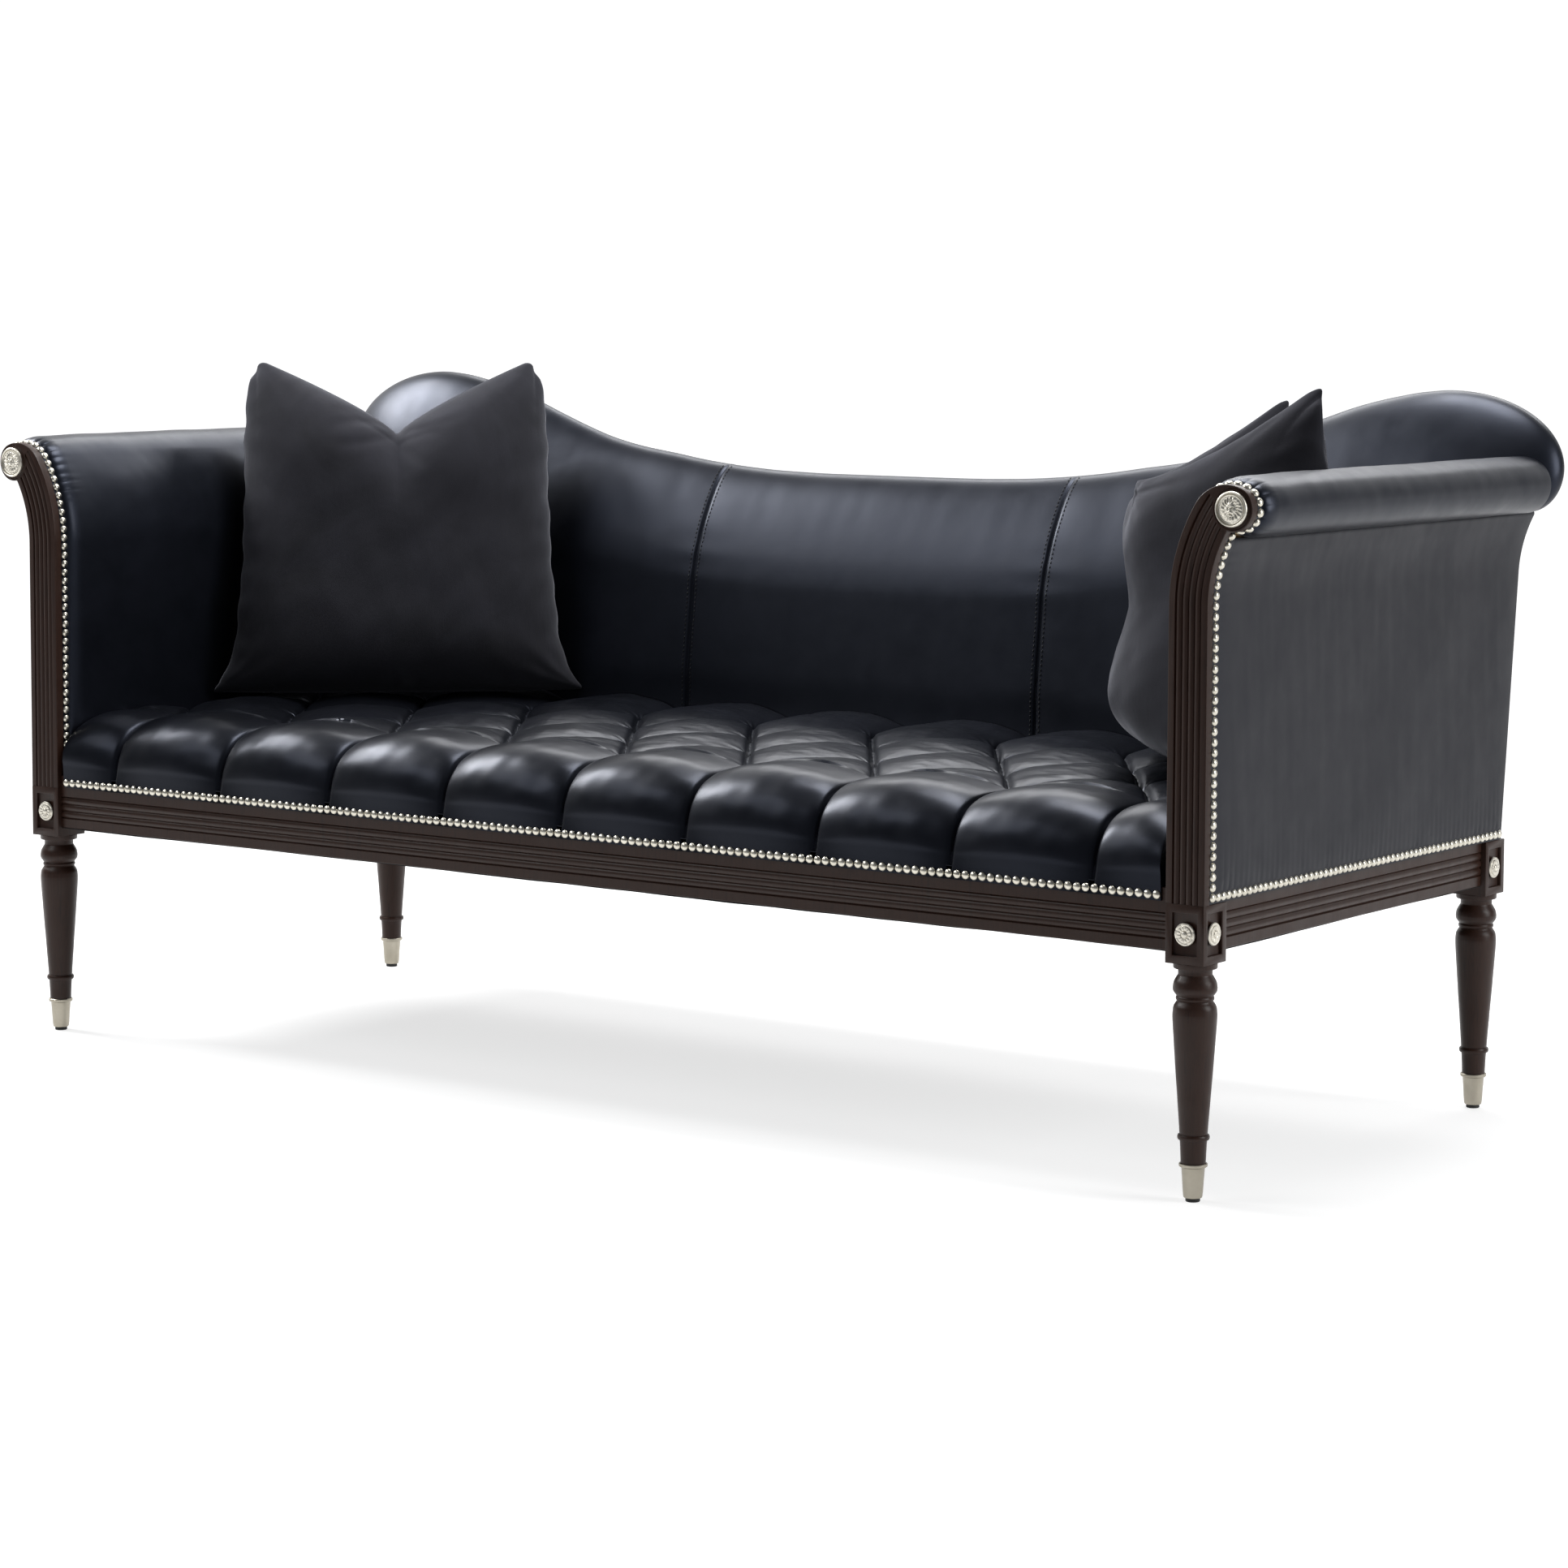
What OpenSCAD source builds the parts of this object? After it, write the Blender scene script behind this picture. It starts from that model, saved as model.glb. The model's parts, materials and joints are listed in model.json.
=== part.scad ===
// Upholstered settee with reeded scroll arms, a dipped rolled back and a diamond-tufted seat.
// Millimetres. Z is up, X runs along the seat, and the front of the settee looks along -Y.
// The origin lies on the floor under the middle of the settee's outline.

/* [Overall] */
// Width over the outer faces of the corner blocks
base_w = 2006; // [1500:1:2400]
// Depth over the outer faces of the corner blocks
base_d = 790; // [720:1:900]
// Height of the underside of the corner blocks above the floor
leg_h = 293; // [220:1:340]

/* [Corner blocks] */
// Side of the square block at the top of each leg
block_w = 54; // [50:1:62]
// Height of the block
block_h = 73; // [68:1:90]
// Width of the sunk panel on a show face
sunk_w = 35; // [30:1:38]
// Height of the sunk panel
sunk_h = 52; // [40:1:58]
// Depth of the sunk panel
sunk_depth = 5; // [2:0.5:6]

/* [Turned legs] */
// Radius of the collar under the block
collar_r = 26.5; // [22:0.5:27]
// Height of the collar
collar_h = 8; // [4:0.5:12]
// Radius of the neck under the collar
neck_r = 21; // [16:0.5:22]
// Height of the neck
neck_h = 7; // [4:0.5:12]
// Radius of the bulb
bulb_r = 27.2; // [23:0.1:30]
// Height of the bulb
bulb_h = 25; // [18:0.5:34]
// Radius of the bead between bulb and shaft
bead_r = 23.6; // [22:0.1:27]
// Height of the bead
bead_h = 6; // [4:0.5:10]
// Largest radius of the tapered shaft
shaft_r = 27.3; // [23:0.1:30]
// Height over which the shaft swells to its largest radius
shoulder_h = 18; // [10:0.5:26]
// Radius of the shaft above the ankle ring
ankle_r = 17.2; // [15:0.1:19]
// Height of the middle of the ankle ring above the floor
ankle_z = 79.5; // [65:0.5:110]
// Radius of the ankle ring
ankle_ring_r = 19.7; // [18:0.1:24]
// Height of the ankle ring
ankle_ring_h = 6.5; // [4:0.5:10]
// Radius of the shaft where it meets the ferrule
tip_r = 15.3; // [14.6:0.1:16]

/* [Ferrules and glides] */
// Height of the ferrule's upper edge above the floor
ferrule_top = 48; // [38:0.5:60]
// Radius of the ferrule's rim
ferrule_rim_r = 17.7; // [16.5:0.1:20]
// Height of the ferrule's rim
ferrule_rim_h = 3; // [2:0.5:6]
// Radius of the ferrule under its rim
ferrule_r = 14.4; // [13:0.1:14.5]
// Radius of the ferrule at its foot
ferrule_foot_r = 11.8; // [10.5:0.1:13]
// Wall of the ferrule
ferrule_wall = 1.6; // [1:0.1:2.4]
// Radius of the glide
glide_r = 9.5; // [7:0.5:10]
// Height of the glide under the ferrule
glide_h = 4; // [3:0.5:8]
// Radius of the glide's pin
glide_pin_r = 2.5; // [1.5:0.5:3.5]
// Length of the glide's pin
glide_pin_l = 26; // [15:1:32]

/* [Rails] */
// Height of the show band of a rail
band_h = 59; // [54:1:66]
// Height of the rail above its show band, where the leather is nailed
nail_strip_h = 18; // [15:1:26]
// Thickness of a rail
rail_t = 28; // [24:1:34]
// Set-back of the rail faces behind the block faces
rail_set = 7; // [5:0.5:10]
// Distance between the grooves of the reeded band
rail_reed_pitch = 10.2; // [8:0.1:11]
// Number of reeds on the band
rail_reeds = 3; // [2:1:4]
// Depth of the grooves, on rails and posts
groove_depth = 2.4; // [1.5:0.1:3]
// Thickness of a rail's tenon
tenon_t = 12; // [8:1:12]
// Height of a rail's tenon
tenon_h = 44; // [30:1:46]
// Length of a rail's tenon
tenon_l = 20; // [15:1:22]
// Thickness of the ledgers that carry the webbing
ledger_t = 28; // [20:1:36]
// Height of the ledgers
ledger_h = 40; // [30:1:44]
// Number of stretchers under the seat
stretchers = 2; // [2:1:2]
// Leg of the triangular corner braces
brace_l = 70; // [50:1:90]

/* [Arm posts] */
// Height of the scroll's centre above the floor
scroll_z = 843; // [838:1:848]
// Distance of the scroll's centre outside the block's outer face
scroll_x = 32; // [28:1:36]
// Radius of the scroll
scroll_r = 27.5; // [26.5:0.1:29]
// Height at which the post starts to lean outwards
bend_z = 725; // [720:1:728]
// Radius of the outward bend on the post's outer edge
bend_r = 180; // [176:1:184]
// Radius that blends the inner edge into the scroll
crown_r = 50; // [48:1:52]
// Depth of the post's bare front part
post_face_t = 13; // [10:0.5:18]
// Thickness of the post from front to back
post_t = 27; // [26:1:30]
// Distance between the grooves of the reeded post
post_reed_pitch = 8.6; // [7:0.1:9]
// Number of reeds on the post
post_reeds = 4; // [3:1:4]
// Angle of the bend along which the post is reeded, in degrees
reed_turn = 37; // [30:1:38]
// Radius of a dowel between block and post
dowel_r = 4; // [3:0.5:4.5]
// Length of a dowel
dowel_l = 56; // [40:1:64]

/* [Rosettes and nails] */
// Radius of the rosette on a scroll
scroll_rosette_r = 21.8; // [18:0.1:24]
// Height of the rosette on a scroll
scroll_rosette_h = 8; // [5:0.5:10]
// Radius of the rosette on a block
block_rosette_r = 14.3; // [11:0.1:15]
// Height of the rosette on a block
block_rosette_h = 8; // [6:0.5:10]
// Diameter of a nail head
nail_d = 11.4; // [9:0.1:12]
// Height of a nail head
nail_h = 4; // [2.5:0.1:5]
// Distance between nails along a row
nail_pitch = 12.6; // [12.5:0.1:16]
// Height of a nail row above the show band
nail_rise = 8; // [6.5:0.1:9]

/* [Upholstery] */
// Set-back of the leather's nailed front edge behind the block faces
lip_set = 4; // [2:0.5:4.5]
// Leather let into the back part of the post
leather_t = 2; // [1:0.1:2.5]
// Height of the padding over the post's outline
pad_over = 8.5; // [6:0.5:11]
// Depth of the arm frame's face under the post's outline
arm_frame_in = 13; // [11:0.5:15]
// Thickness of the padded outside panels
panel_t = 7; // [5:0.5:8]
// Height of the tufts' bottoms above the floor
tuft_z = 462; // [440:1:475]
// Height of the seat between the tufts
crown_z = 481; // [470:1:500]
// Distance between tufts along the seat
tuft_w = 210; // [180:1:240]
// Distance between rows of tufts
tuft_d = 146; // [120:1:150]
// Distance of the first row of tufts behind the seat's front face
tuft_first = 140; // [120:1:160]
// Height of the seat's flat front face above the rail
seat_front_h = 20; // [10:1:40]
// Radius of the seat's front edge
seat_edge_r = 72; // [60:1:90]
// Drop of the seat along the arms
seat_side_drop = 24; // [0:1:40]
// Thickness of the foam slab under the tufted layer
foam_t = 34; // [20:1:40]
// Thickness of the webbing
web_t = 3; // [2:0.5:4]
// Width of a web
web_w = 50; // [40:1:70]
// Thickness of the burlap and of the dust cover
burlap_t = 1; // [0.5:0.1:2]

/* [Back] */
// Height of the back over its humps
hump_z = 967; // [920:1:1020]
// Height of the back in the middle of its dip
dip_z = 825; // [790:1:860]
// Distance of a hump's top from the base's side
hump_in = 103; // [73:1:143]
// Width of the ear outside the hump's top
ear_w = 172; // [160:1:180]
// Height of the ear's widest point above the floor
ear_z = 862; // [855:1:870]
// Set-back of the outside back behind the rear block faces, at the top of the rails
back_set = 10; // [8:1:14]
// Rake of the back, in degrees
rake = 6.3; // [4:0.1:8]
// Thickness of the back frame
back_frame_t = 38; // [30:1:44]
// Depth of the inside back in front of the outside back, at seat height
back_depth = 103; // [95:1:120]
// Depth of the roll in front of the back's upper edge
roll_d = 75; // [65:1:85]
// Height over which the inside back rolls backwards
roll_h = 170; // [150:1:190]
// Height of the padded roll over the back frame
roll_over = 62; // [56:1:68]
// Height of the padding's lower edge above the floor
pad_bottom_z = 440; // [425:1:450]

/* [Pillows] */
// Width of a pillow over its lower corners
pillow_w = 560; // [450:1:580]
// Height of a pillow over its ears
pillow_h = 512; // [420:1:540]
// Thickness of a pillow
pillow_t = 200; // [120:1:210]
// Depth of the dent in a pillow's upper edge
pillow_dent = 118; // [60:1:140]
// Backward lean of a pillow, in degrees
pillow_lean = 10; // [8:1:12]
// Place of the left pillow's lower edge, in from the base's side and in front of the back
pillow_left_in = [283, 190];
// Place of the right pillow's lower edge, in from the base's side and in front of the back
pillow_right_in = [278, 230.6];
// Direction of the left pillow's width, in degrees
pillow_left_turn = 43; // [35:1:50]
// Direction of the right pillow's width, in degrees
pillow_right_turn = -51; // [-58:1:-43]

/* [Hidden] */
$fn = 48;

// Finishes
wood = [0.23, 0.17, 0.15];
bare_wood = [0.72, 0.58, 0.42];
leather = [0.12, 0.13, 0.15];
outside_leather = [0.22, 0.23, 0.24];
nickel = [0.78, 0.76, 0.70];
black = [0.04, 0.04, 0.04];
velvet = [0.17, 0.17, 0.19];
jute = [0.66, 0.54, 0.36];
foam_colour = [0.90, 0.86, 0.70];

// Overrun of a cut past the face it opens
cut = 1;
// Clearance of pins and tenons in their holes
fit = 0.1;
// Clearance between a soft piece and its neighbour
soft_gap = 0.4;

half_w = base_w / 2;
half_d = base_d / 2;
block_top = leg_h + block_h;
band_bottom = block_top - band_h;
band_mid = block_top - band_h / 2;
rail_top = block_top + nail_strip_h;
nail_z = block_top + nail_rise;
deck_z = rail_top + web_t + burlap_t;
foam_top = deck_z + foam_t;
rail_mid = rail_set + rail_t / 2;
hump_x = half_w - hump_in;

// Point where two circles meet; side picks the left (1) or the right (-1) of the line a to b
function meet(a, ra, b, rb, side) =
    let (d = norm(b - a), u = (b - a) / d, n = [-u[1], u[0]],
         s = (d * d + ra * ra - rb * rb) / (2 * d), h = sqrt(max(0, ra * ra - s * s)))
    a + u * s + n * (side * h);
function bearing(c, p) = atan2(p[1] - c[1], p[0] - c[0]);
function arc(c, r, a0, a1, n) = [for (i = [0:n]) let (a = a0 + (a1 - a0) * i / n)
    c + r * [cos(a), sin(a)]];
function positive(a) = a < 0 ? a + 360 : a;
function clamp(v, lo, hi) = max(lo, min(hi, v));
function flip(pts) = [for (p = pts) [-p[0], p[1]]];
function back_to_front(pts) = [for (i = [len(pts) - 1:-1:0]) pts[i]];

// Outline of the arm, looking at the right-hand post from the front. x is measured from the
// block's outer face. The inner edge is grown by g_in and the outer edge lies at g_out.
bend_c = [bend_r, bend_z];
scroll_c = [scroll_x, scroll_z];
crown_c = meet(bend_c, bend_r + block_w - crown_r, scroll_c, crown_r - scroll_r, 1);
crown_a0 = bearing(bend_c, crown_c);
crown_a1 = bearing(crown_c, scroll_c);
function scroll_foot(g_in, g_out) = meet(bend_c, bend_r - g_out, scroll_c, scroll_r + g_in, 1);
// Turn at which the outside of the bend begins, a little under the scroll's foot
bend_a0 = bearing(bend_c, scroll_foot(pad_over, 0)) + 1;
bend_n = 8;
function arm_outline(g_in, g_out, z0) =
    let (foot = scroll_foot(g_in, g_out))
    concat([[-block_w - g_in, z0]],
        arc(bend_c, bend_r + block_w + g_in, 180, crown_a0, 7),
        [for (i = [1:6]) crown_c + (crown_r + g_in)
            * [cos(crown_a0 + (crown_a1 - crown_a0) * i / 6),
               sin(crown_a0 + (crown_a1 - crown_a0) * i / 6)]],
        [for (i = [1:16]) let (a1 = positive(bearing(scroll_c, foot)) - 360,
                               a = crown_a1 + (a1 - crown_a1) * i / 16)
            scroll_c + (scroll_r + g_in) * [cos(a), sin(a)]],
        arc(bend_c, bend_r - g_out, bend_a0, 180, bend_n),
        [[g_out, z0]]);
// Height of the seam between the arm's roll and the outside panel
arm_seam_z = scroll_z - scroll_r - pad_over - soft_gap;
// Split between the inner and the outer skin of the arm
arm_split_x = -block_w / 5;

// Rear face of the raked outside back at height z
function rear_y(z) = half_d - back_set + tan(rake) * (z - rail_top);
// Front face of the upholstered inside back at height z, away from the roll
function inside_y(z) = rear_y(z) - back_depth;

// Outline of the back, seen from the front, from the right-hand ear's foot to the left-hand one
rise_shares = [[0, 0], [0.13, 0.001], [0.235, 0.016], [0.32, 0.05], [0.4, 0.103], [0.47, 0.168],
    [0.54, 0.23], [0.605, 0.315], [0.665, 0.43], [0.73, 0.575], [0.79, 0.715], [0.85, 0.84],
    [0.91, 0.93], [0.957, 0.98], [1, 1]];
ear_foot = [half_w + scroll_x * 0.7, arm_seam_z + soft_gap];
ear_low = [hump_x + ear_w - ear_foot[0], ear_z - ear_foot[1]];
back_half = concat(
    [for (i = [0:5]) let (a = 90 - 90 * i / 6)
        [ear_foot[0] + ear_low[0] * cos(a), ear_z - ear_low[1] * sin(a)]],
    [for (i = [0:9]) let (a = 90 * i / 10)
        [hump_x + ear_w * cos(a), ear_z + (hump_z - ear_z) * sin(a)]],
    [for (i = [len(rise_shares) - 1:-1:1])
        [hump_x * rise_shares[i][0], dip_z + (hump_z - dip_z) * rise_shares[i][1]]]);
back_outline = concat(back_half, [[0, dip_z]], back_to_front(flip(back_half)));
function inset_half(g) = concat(
    [[half_w - panel_t, ear_z - g / 2]],
    [for (i = [0:9]) let (a = 90 * i / 10)
        [hump_x + (ear_w - g) * cos(a), ear_z + (hump_z - ear_z - g) * sin(a)]],
    [for (i = [len(rise_shares) - 1:-1:1])
        [hump_x * rise_shares[i][0], dip_z - g + (hump_z - dip_z) * rise_shares[i][1]]]);
function inset_outline(g, z0) = concat([[half_w - panel_t, z0]], inset_half(g), [[0, dip_z - g]],
    back_to_front(flip(inset_half(g))), [[panel_t - half_w, z0]]);

// Distance from a point of the front view to the back's outline
function to_segment(p, a, b) =
    let (d = b - a, t = clamp(((p - a) * d) / (d * d), 0, 1)) norm(p - a - d * t);
function to_outline(p) = min([for (i = [0:len(back_outline) - 2])
    to_segment(p, back_outline[i], back_outline[i + 1])]);
function inside_back_y(p) =
    let (d = to_outline(p), k = clamp(1 - d / roll_h, 0, 1))
    inside_y(p[1]) + roll_d * (1 - sqrt(1 - pow(k, 1.4)));
function outside_back_y(p) =
    let (d = to_outline(p), k = clamp(1 - d / (roll_over - cut), 0, 1), y0 = inside_y(p[1]) + roll_d)
    y0 + (rear_y(p[1]) - y0) * sqrt(1 - k * k);

// Lower edge of the back's padding, between the arms
pad_side_x = half_w - block_w + pad_over;
pad_side_z = arm_seam_z + soft_gap;
n_ear = 9;
n_side = 19;
n_out = len(back_outline) - 1;
function side_base_z(i) = i <= n_ear ? pad_side_z - cut * i
    : pad_side_z - cut * n_ear
        + (pad_bottom_z - pad_side_z + cut * n_ear) * (i - n_ear) / (n_side - n_ear);
function pad_base(i) = i <= n_side ? [pad_side_x, side_base_z(i)]
    : i >= n_out - n_side ? [-pad_side_x, side_base_z(n_out - i)]
    : [pad_side_x * (1 - 2 * (i - n_side) / (n_out - 2 * n_side)), pad_bottom_z];
roll_shares = [0, 0.025, 0.09, 0.19, 0.355, 0.55, 0.78, 1];
lower_shares = [0.35, 0.7, 1];
n_rows = len(roll_shares) + len(lower_shares) - 1;
function pad_row(i, k) =
    let (a = back_outline[i], b = pad_base(i), l = norm(b - a),
         r = min(roll_h / l, 0.7), n = len(roll_shares),
         s = k < n ? r * roll_shares[k] : r + (1 - r) * lower_shares[k - n])
    a + (b - a) * s;
pad_ring = 2 * n_rows + 1;
function pad_at(i, j) =
    let (k = j <= n_rows ? j : pad_ring - j, p = pad_row(i, k))
    [p[0], j <= n_rows ? inside_back_y(p) : outside_back_y(p), p[1]];
pad_pts = [for (i = [0:n_out]) for (j = [0:pad_ring - 1]) pad_at(i, j)];
back_reach = max([for (p = pad_pts) p[1]]);

// Seat: one ring of points for every station along X
seat_half = half_w - block_w - pad_over - soft_gap;
seat_front_y = lip_set - half_d;
tuft_rows = 4;
tuft_y0 = seat_front_y + tuft_first;
tuft_y1 = tuft_y0 + (tuft_rows - 1) * tuft_d;
seat_steps = 36;
seat_rear_z = tuft_z - seat_side_drop;
tuft_lines = [for (i = [0:4 * tuft_rows - 4]) tuft_y0 + tuft_d * i / 4];
function seat_quilt(x, y) =
    let (v = (clamp(y, tuft_y0, tuft_y1) - tuft_y0) / tuft_d / 2,
         a = abs(sin(180 * (x / tuft_w + v))), b = abs(sin(180 * (x / tuft_w - v))))
    tuft_z + (crown_z - tuft_z) * (0.55 * sqrt(max(a, b)) + 0.45 * sqrt(min(a, b)));
function side_fall(x) =
    let (k = clamp(1 - (seat_half - abs(x)) / seat_edge_r, 0, 1))
    seat_side_drop * (1 - sqrt(1 - k * k));
function seat_top(x, y) = seat_quilt(x, y) - side_fall(x);
seat_edge_z = rail_top + seat_front_h;
function seat_ring(x) =
    let (y1 = seat_front_y + seat_edge_r, z1 = seat_top(x, y1), yr = inside_y(seat_rear_z) - soft_gap)
    concat(
        [[seat_front_y, block_top + cut], [seat_front_y, rail_top], [seat_front_y, seat_edge_z]],
        [for (i = [1:5]) let (a = 90 * i / 6)
            [y1 - seat_edge_r * cos(a), seat_edge_z + (z1 - seat_edge_z) * sin(a)]],
        [for (y = concat([y1, (y1 + tuft_y0) / 2], tuft_lines, [(tuft_y1 + yr) / 2, yr]))
            [y, seat_top(x, y)]],
        [[inside_y(deck_z) - soft_gap, deck_z],
         [foam_y1, deck_z], [foam_y1, foam_top], [foam_y0, foam_top], [foam_y0, deck_z],
         [burlap_y0, deck_z], [burlap_y0, rail_top], [rail_set - half_d, rail_top],
         [rail_set - half_d, block_top + cut]]);
burlap_y0 = rail_set + rail_t / 2 - half_d;
foam_y0 = rail_set + rail_t - half_d;
foam_y1 = inside_y(deck_z) - rail_t;
ledger_y = half_d - rail_set - rail_t - ledger_t;
web_y1 = rear_y(rail_top) - panel_t - back_frame_t - soft_gap;
web_x1 = half_w - block_w - soft_gap;

pillow_left_at = [pillow_left_in[0] - half_w, inside_y(tuft_z) - pillow_left_in[1]];
pillow_right_at = [half_w - pillow_right_in[0], inside_y(tuft_z) - pillow_right_in[1]];
// Pillow surface: u runs across and v up its face, each from -1 to 1
function pillow_at(u, v, side) =
    let (mid = pillow_w * 0.4375, low = pillow_w / 2, s = (v + 1) / 2,
         x = u * (low + (pillow_w * 0.379 - low) * s
                  - (low + pillow_w * 0.379 - 2 * mid) * 2 * s * (1 - s)),
         z = s * (pillow_h - pillow_dent * (1 - pow(abs(u), 1.6))),
         t = pow(1 - pow(abs(u), 2.4), 0.62) * pow(1 - pow(abs(v), 2.4), 0.62))
    [x, side * pillow_t / 2 * t, z];
pillow_steps = 16;

// Overall reach in Y, for placing the origin
front_reach = half_d + max(scroll_rosette_h, block_rosette_h - sunk_depth);
frame_y = (front_reach - back_reach) / 2;

// Profile of a row of convex reeds as [into the wood, across]
function reed_cut(n, pitch) =
    let (e = n * pitch / 2, w = pitch / 8)
    concat([[-cut, -e - w], [0, -e - w]],
        [for (i = [0:n * 6]) let (s = i / 6)
            [groove_depth * (1 - pow(abs(sin(180 * s)), 0.7)), s * pitch - e]],
        [[0, e + w], [-cut, e + w]]);
function cross(pts) = [for (p = pts) [p[1], p[0]]];

module placed() { translate([0, frame_y, 0]) children(); }
module mirrored(left) { if (left) mirror([1, 0, 0]) children(); else children(); }
module turned(rear) { if (rear) mirror([0, 1, 0]) children(); else children(); }
// Drawing in the front view of the right-hand arm, swept from y0 to y1
module swept(y0, y1) {
    translate([half_w, y1, 0]) rotate([90, 0, 0]) linear_extrude(y1 - y0) children();
}
// Space behind a raked plane that lies in front of the outside back by the given depth
module behind(depth) {
    translate([0, half_d - back_set, rail_top]) rotate([-rake, 0, 0])
        translate([-base_w, -depth * cos(rake), -base_d])
            cube([2 * base_w, base_d, 3 * base_d]);
}
// Raked board between two depths in front of the outside back, shaped in the front view
module raked_board(y0, y1) {
    translate([0, half_d - back_set, rail_top]) rotate([-rake, 0, 0])
        translate([0, -y1 * cos(rake), 0]) rotate([90, 0, 0])
            linear_extrude((y0 - y1) * cos(rake)) children();
}
// Front-view points as they lie on the raked board
function on_rake(pts) = [for (p = pts) [p[0], (p[1] - rail_top) / cos(rake)]];

// Nail heads as six-sided domes: each place is [foot, across, along, outward]
nail_sides = 6;
module nails(places) {
    n = nail_sides;
    color(nickel) polyhedron(
        points = [for (p = places) for (ring = [[nail_d / 2, 0], [nail_d * 0.29, nail_h]])
            for (k = [0:n - 1]) p[0] + p[3] * ring[1]
                + (p[1] * cos(360 * k / n) + p[2] * sin(360 * k / n)) * ring[0]],
        faces = [for (m = [0:len(places) - 1]) let (o = 2 * n * m) each concat(
            [[for (k = [0:n - 1]) o + k]], [[for (k = [2 * n - 1:-1:n]) o + k]],
            [for (k = [0:n - 1]) let (q = (k + 1) % n) [o + k, o + k + n, o + q + n, o + q]])]);
}
function row(a, b, across, along, outward) =
    let (n = round(norm(b - a) / nail_pitch))
    [for (i = [0:n]) [a + (b - a) * i / n, across, along, outward]];
module rosette(r, h) {
    rotate_extrude() polygon([[0, 0], [r * 0.94, 0], [r, h * 0.08], [r, h * 0.38], [r * 0.9, h * 0.46],
        [r * 0.9, h * 0.56], [r, h * 0.62], [r, h * 0.86], [r * 0.93, h], [r * 0.8, h],
        [r * 0.76, h * 0.84], [r * 0.68, h * 0.82], [r * 0.62, h * 0.93], [r * 0.35, h], [0, h]]);
}

// Leg at the front right-hand corner; the others are its reflections
leg_x = half_w - block_w / 2;
leg_y = block_w / 2 - half_d;
neck_top = leg_h - collar_h;
bulb_top = neck_top - neck_h;
bulb_foot = bulb_top - bulb_h;
bead_foot = bulb_foot - bead_h;
shaft_z = bead_foot - shoulder_h;
pinch_r = bead_r - groove_depth / 2;
module leg(rear) {
    hole_r = glide_pin_r + fit;
    inner_r = ferrule_r - ferrule_wall;
    foot_z = glide_h + ferrule_wall;
    difference() {
        union() {
            translate([leg_x - block_w / 2, leg_y - block_w / 2, leg_h])
                cube([block_w, block_w, block_h]);
            head_y = rear ? -half_d : post_t - half_d;
            translate([half_w - block_w, head_y, block_top])
                cube([block_w - panel_t, block_w - half_d - head_y, nail_strip_h]);
            translate([leg_x, leg_y, 0]) rotate_extrude() polygon(concat(
                [[0, leg_h], [collar_r * 0.96, leg_h], [collar_r, leg_h - collar_h * 0.2],
                 [collar_r, leg_h - collar_h * 0.7], [collar_r * 0.95, neck_top],
                 [neck_r, neck_top], [neck_r, bulb_top + neck_h * 0.4]],
                [for (i = [0:12]) let (a = 180 * i / 12)
                    [neck_r + (pinch_r - neck_r) * i / 12 + (bulb_r - pinch_r) * pow(sin(a), 0.7),
                     bulb_foot + bulb_h * (1 + cos(a)) / 2]],
                [for (i = [1:5]) let (a = 180 * i / 6)
                    [pinch_r + (bead_r - pinch_r) * sin(a), bead_foot + bead_h * (1 + cos(a)) / 2]],
                [for (i = [0:6]) let (a = 90 * i / 6)
                    [pinch_r + (shaft_r - pinch_r) * sin(a), shaft_z + shoulder_h * cos(a)]],
                [[ankle_r, ankle_z + ankle_ring_h * 0.8]],
                [for (i = [0:6]) let (a = 180 * i / 6)
                    [ankle_r * 0.98 + (ankle_ring_r - ankle_r) * sin(a),
                     ankle_z + ankle_ring_h / 2 * cos(a)]],
                [[tip_r, ferrule_top], [inner_r, ferrule_top], [ferrule_foot_r - ferrule_wall, foot_z],
                 [0, foot_z]]));
        }
        translate([leg_x, leg_y, 0]) cylinder(r = hole_r, h = glide_h + glide_pin_l + fit);
        // Sunk panels on the two show faces
        translate([leg_x - sunk_w / 2, -half_d - cut, leg_h + (block_h - sunk_h) / 2])
            cube([sunk_w, sunk_depth + cut, sunk_h]);
        translate([half_w - sunk_depth, leg_y - sunk_w / 2, leg_h + (block_h - sunk_h) / 2])
            cube([sunk_depth + cut, sunk_w, sunk_h]);
        // Mortises for the rails
        translate([half_w - block_w - cut, rail_mid - half_d - tenon_t / 2 - fit,
                   band_mid - tenon_h / 2 - fit])
            cube([tenon_l + fit + cut, tenon_t + 2 * fit, tenon_h + 2 * fit]);
        translate([half_w - rail_mid - tenon_t / 2 - fit, block_w - half_d - tenon_l - fit,
                   band_mid - tenon_h / 2 - fit])
            cube([tenon_t + 2 * fit, tenon_l + fit + cut, tenon_h + 2 * fit]);
        if (rear) mirror([0, 1, 0]) intersection() {
            behind(panel_t);
            translate([0, 0, block_top]) cube(base_w);
        }
        else translate([leg_x, post_t / 2 - half_d, block_top - dowel_l / 2 - fit])
            cylinder(r = dowel_r + fit, h = dowel_l);
    }
}
module ferrule() {
    foot_z = glide_h + ferrule_wall;
    translate([leg_x, leg_y, 0]) rotate_extrude() polygon([
        [glide_pin_r + fit, glide_h], [ferrule_foot_r * 0.86, glide_h],
        [ferrule_foot_r, glide_h * 1.6], [ferrule_r, ferrule_top - 2 * ferrule_rim_h],
        [ferrule_rim_r, ferrule_top - ferrule_rim_h], [ferrule_rim_r, ferrule_top],
        [ferrule_r - ferrule_wall, ferrule_top], [ferrule_foot_r - ferrule_wall, foot_z],
        [glide_pin_r + fit, foot_z]]);
}
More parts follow.
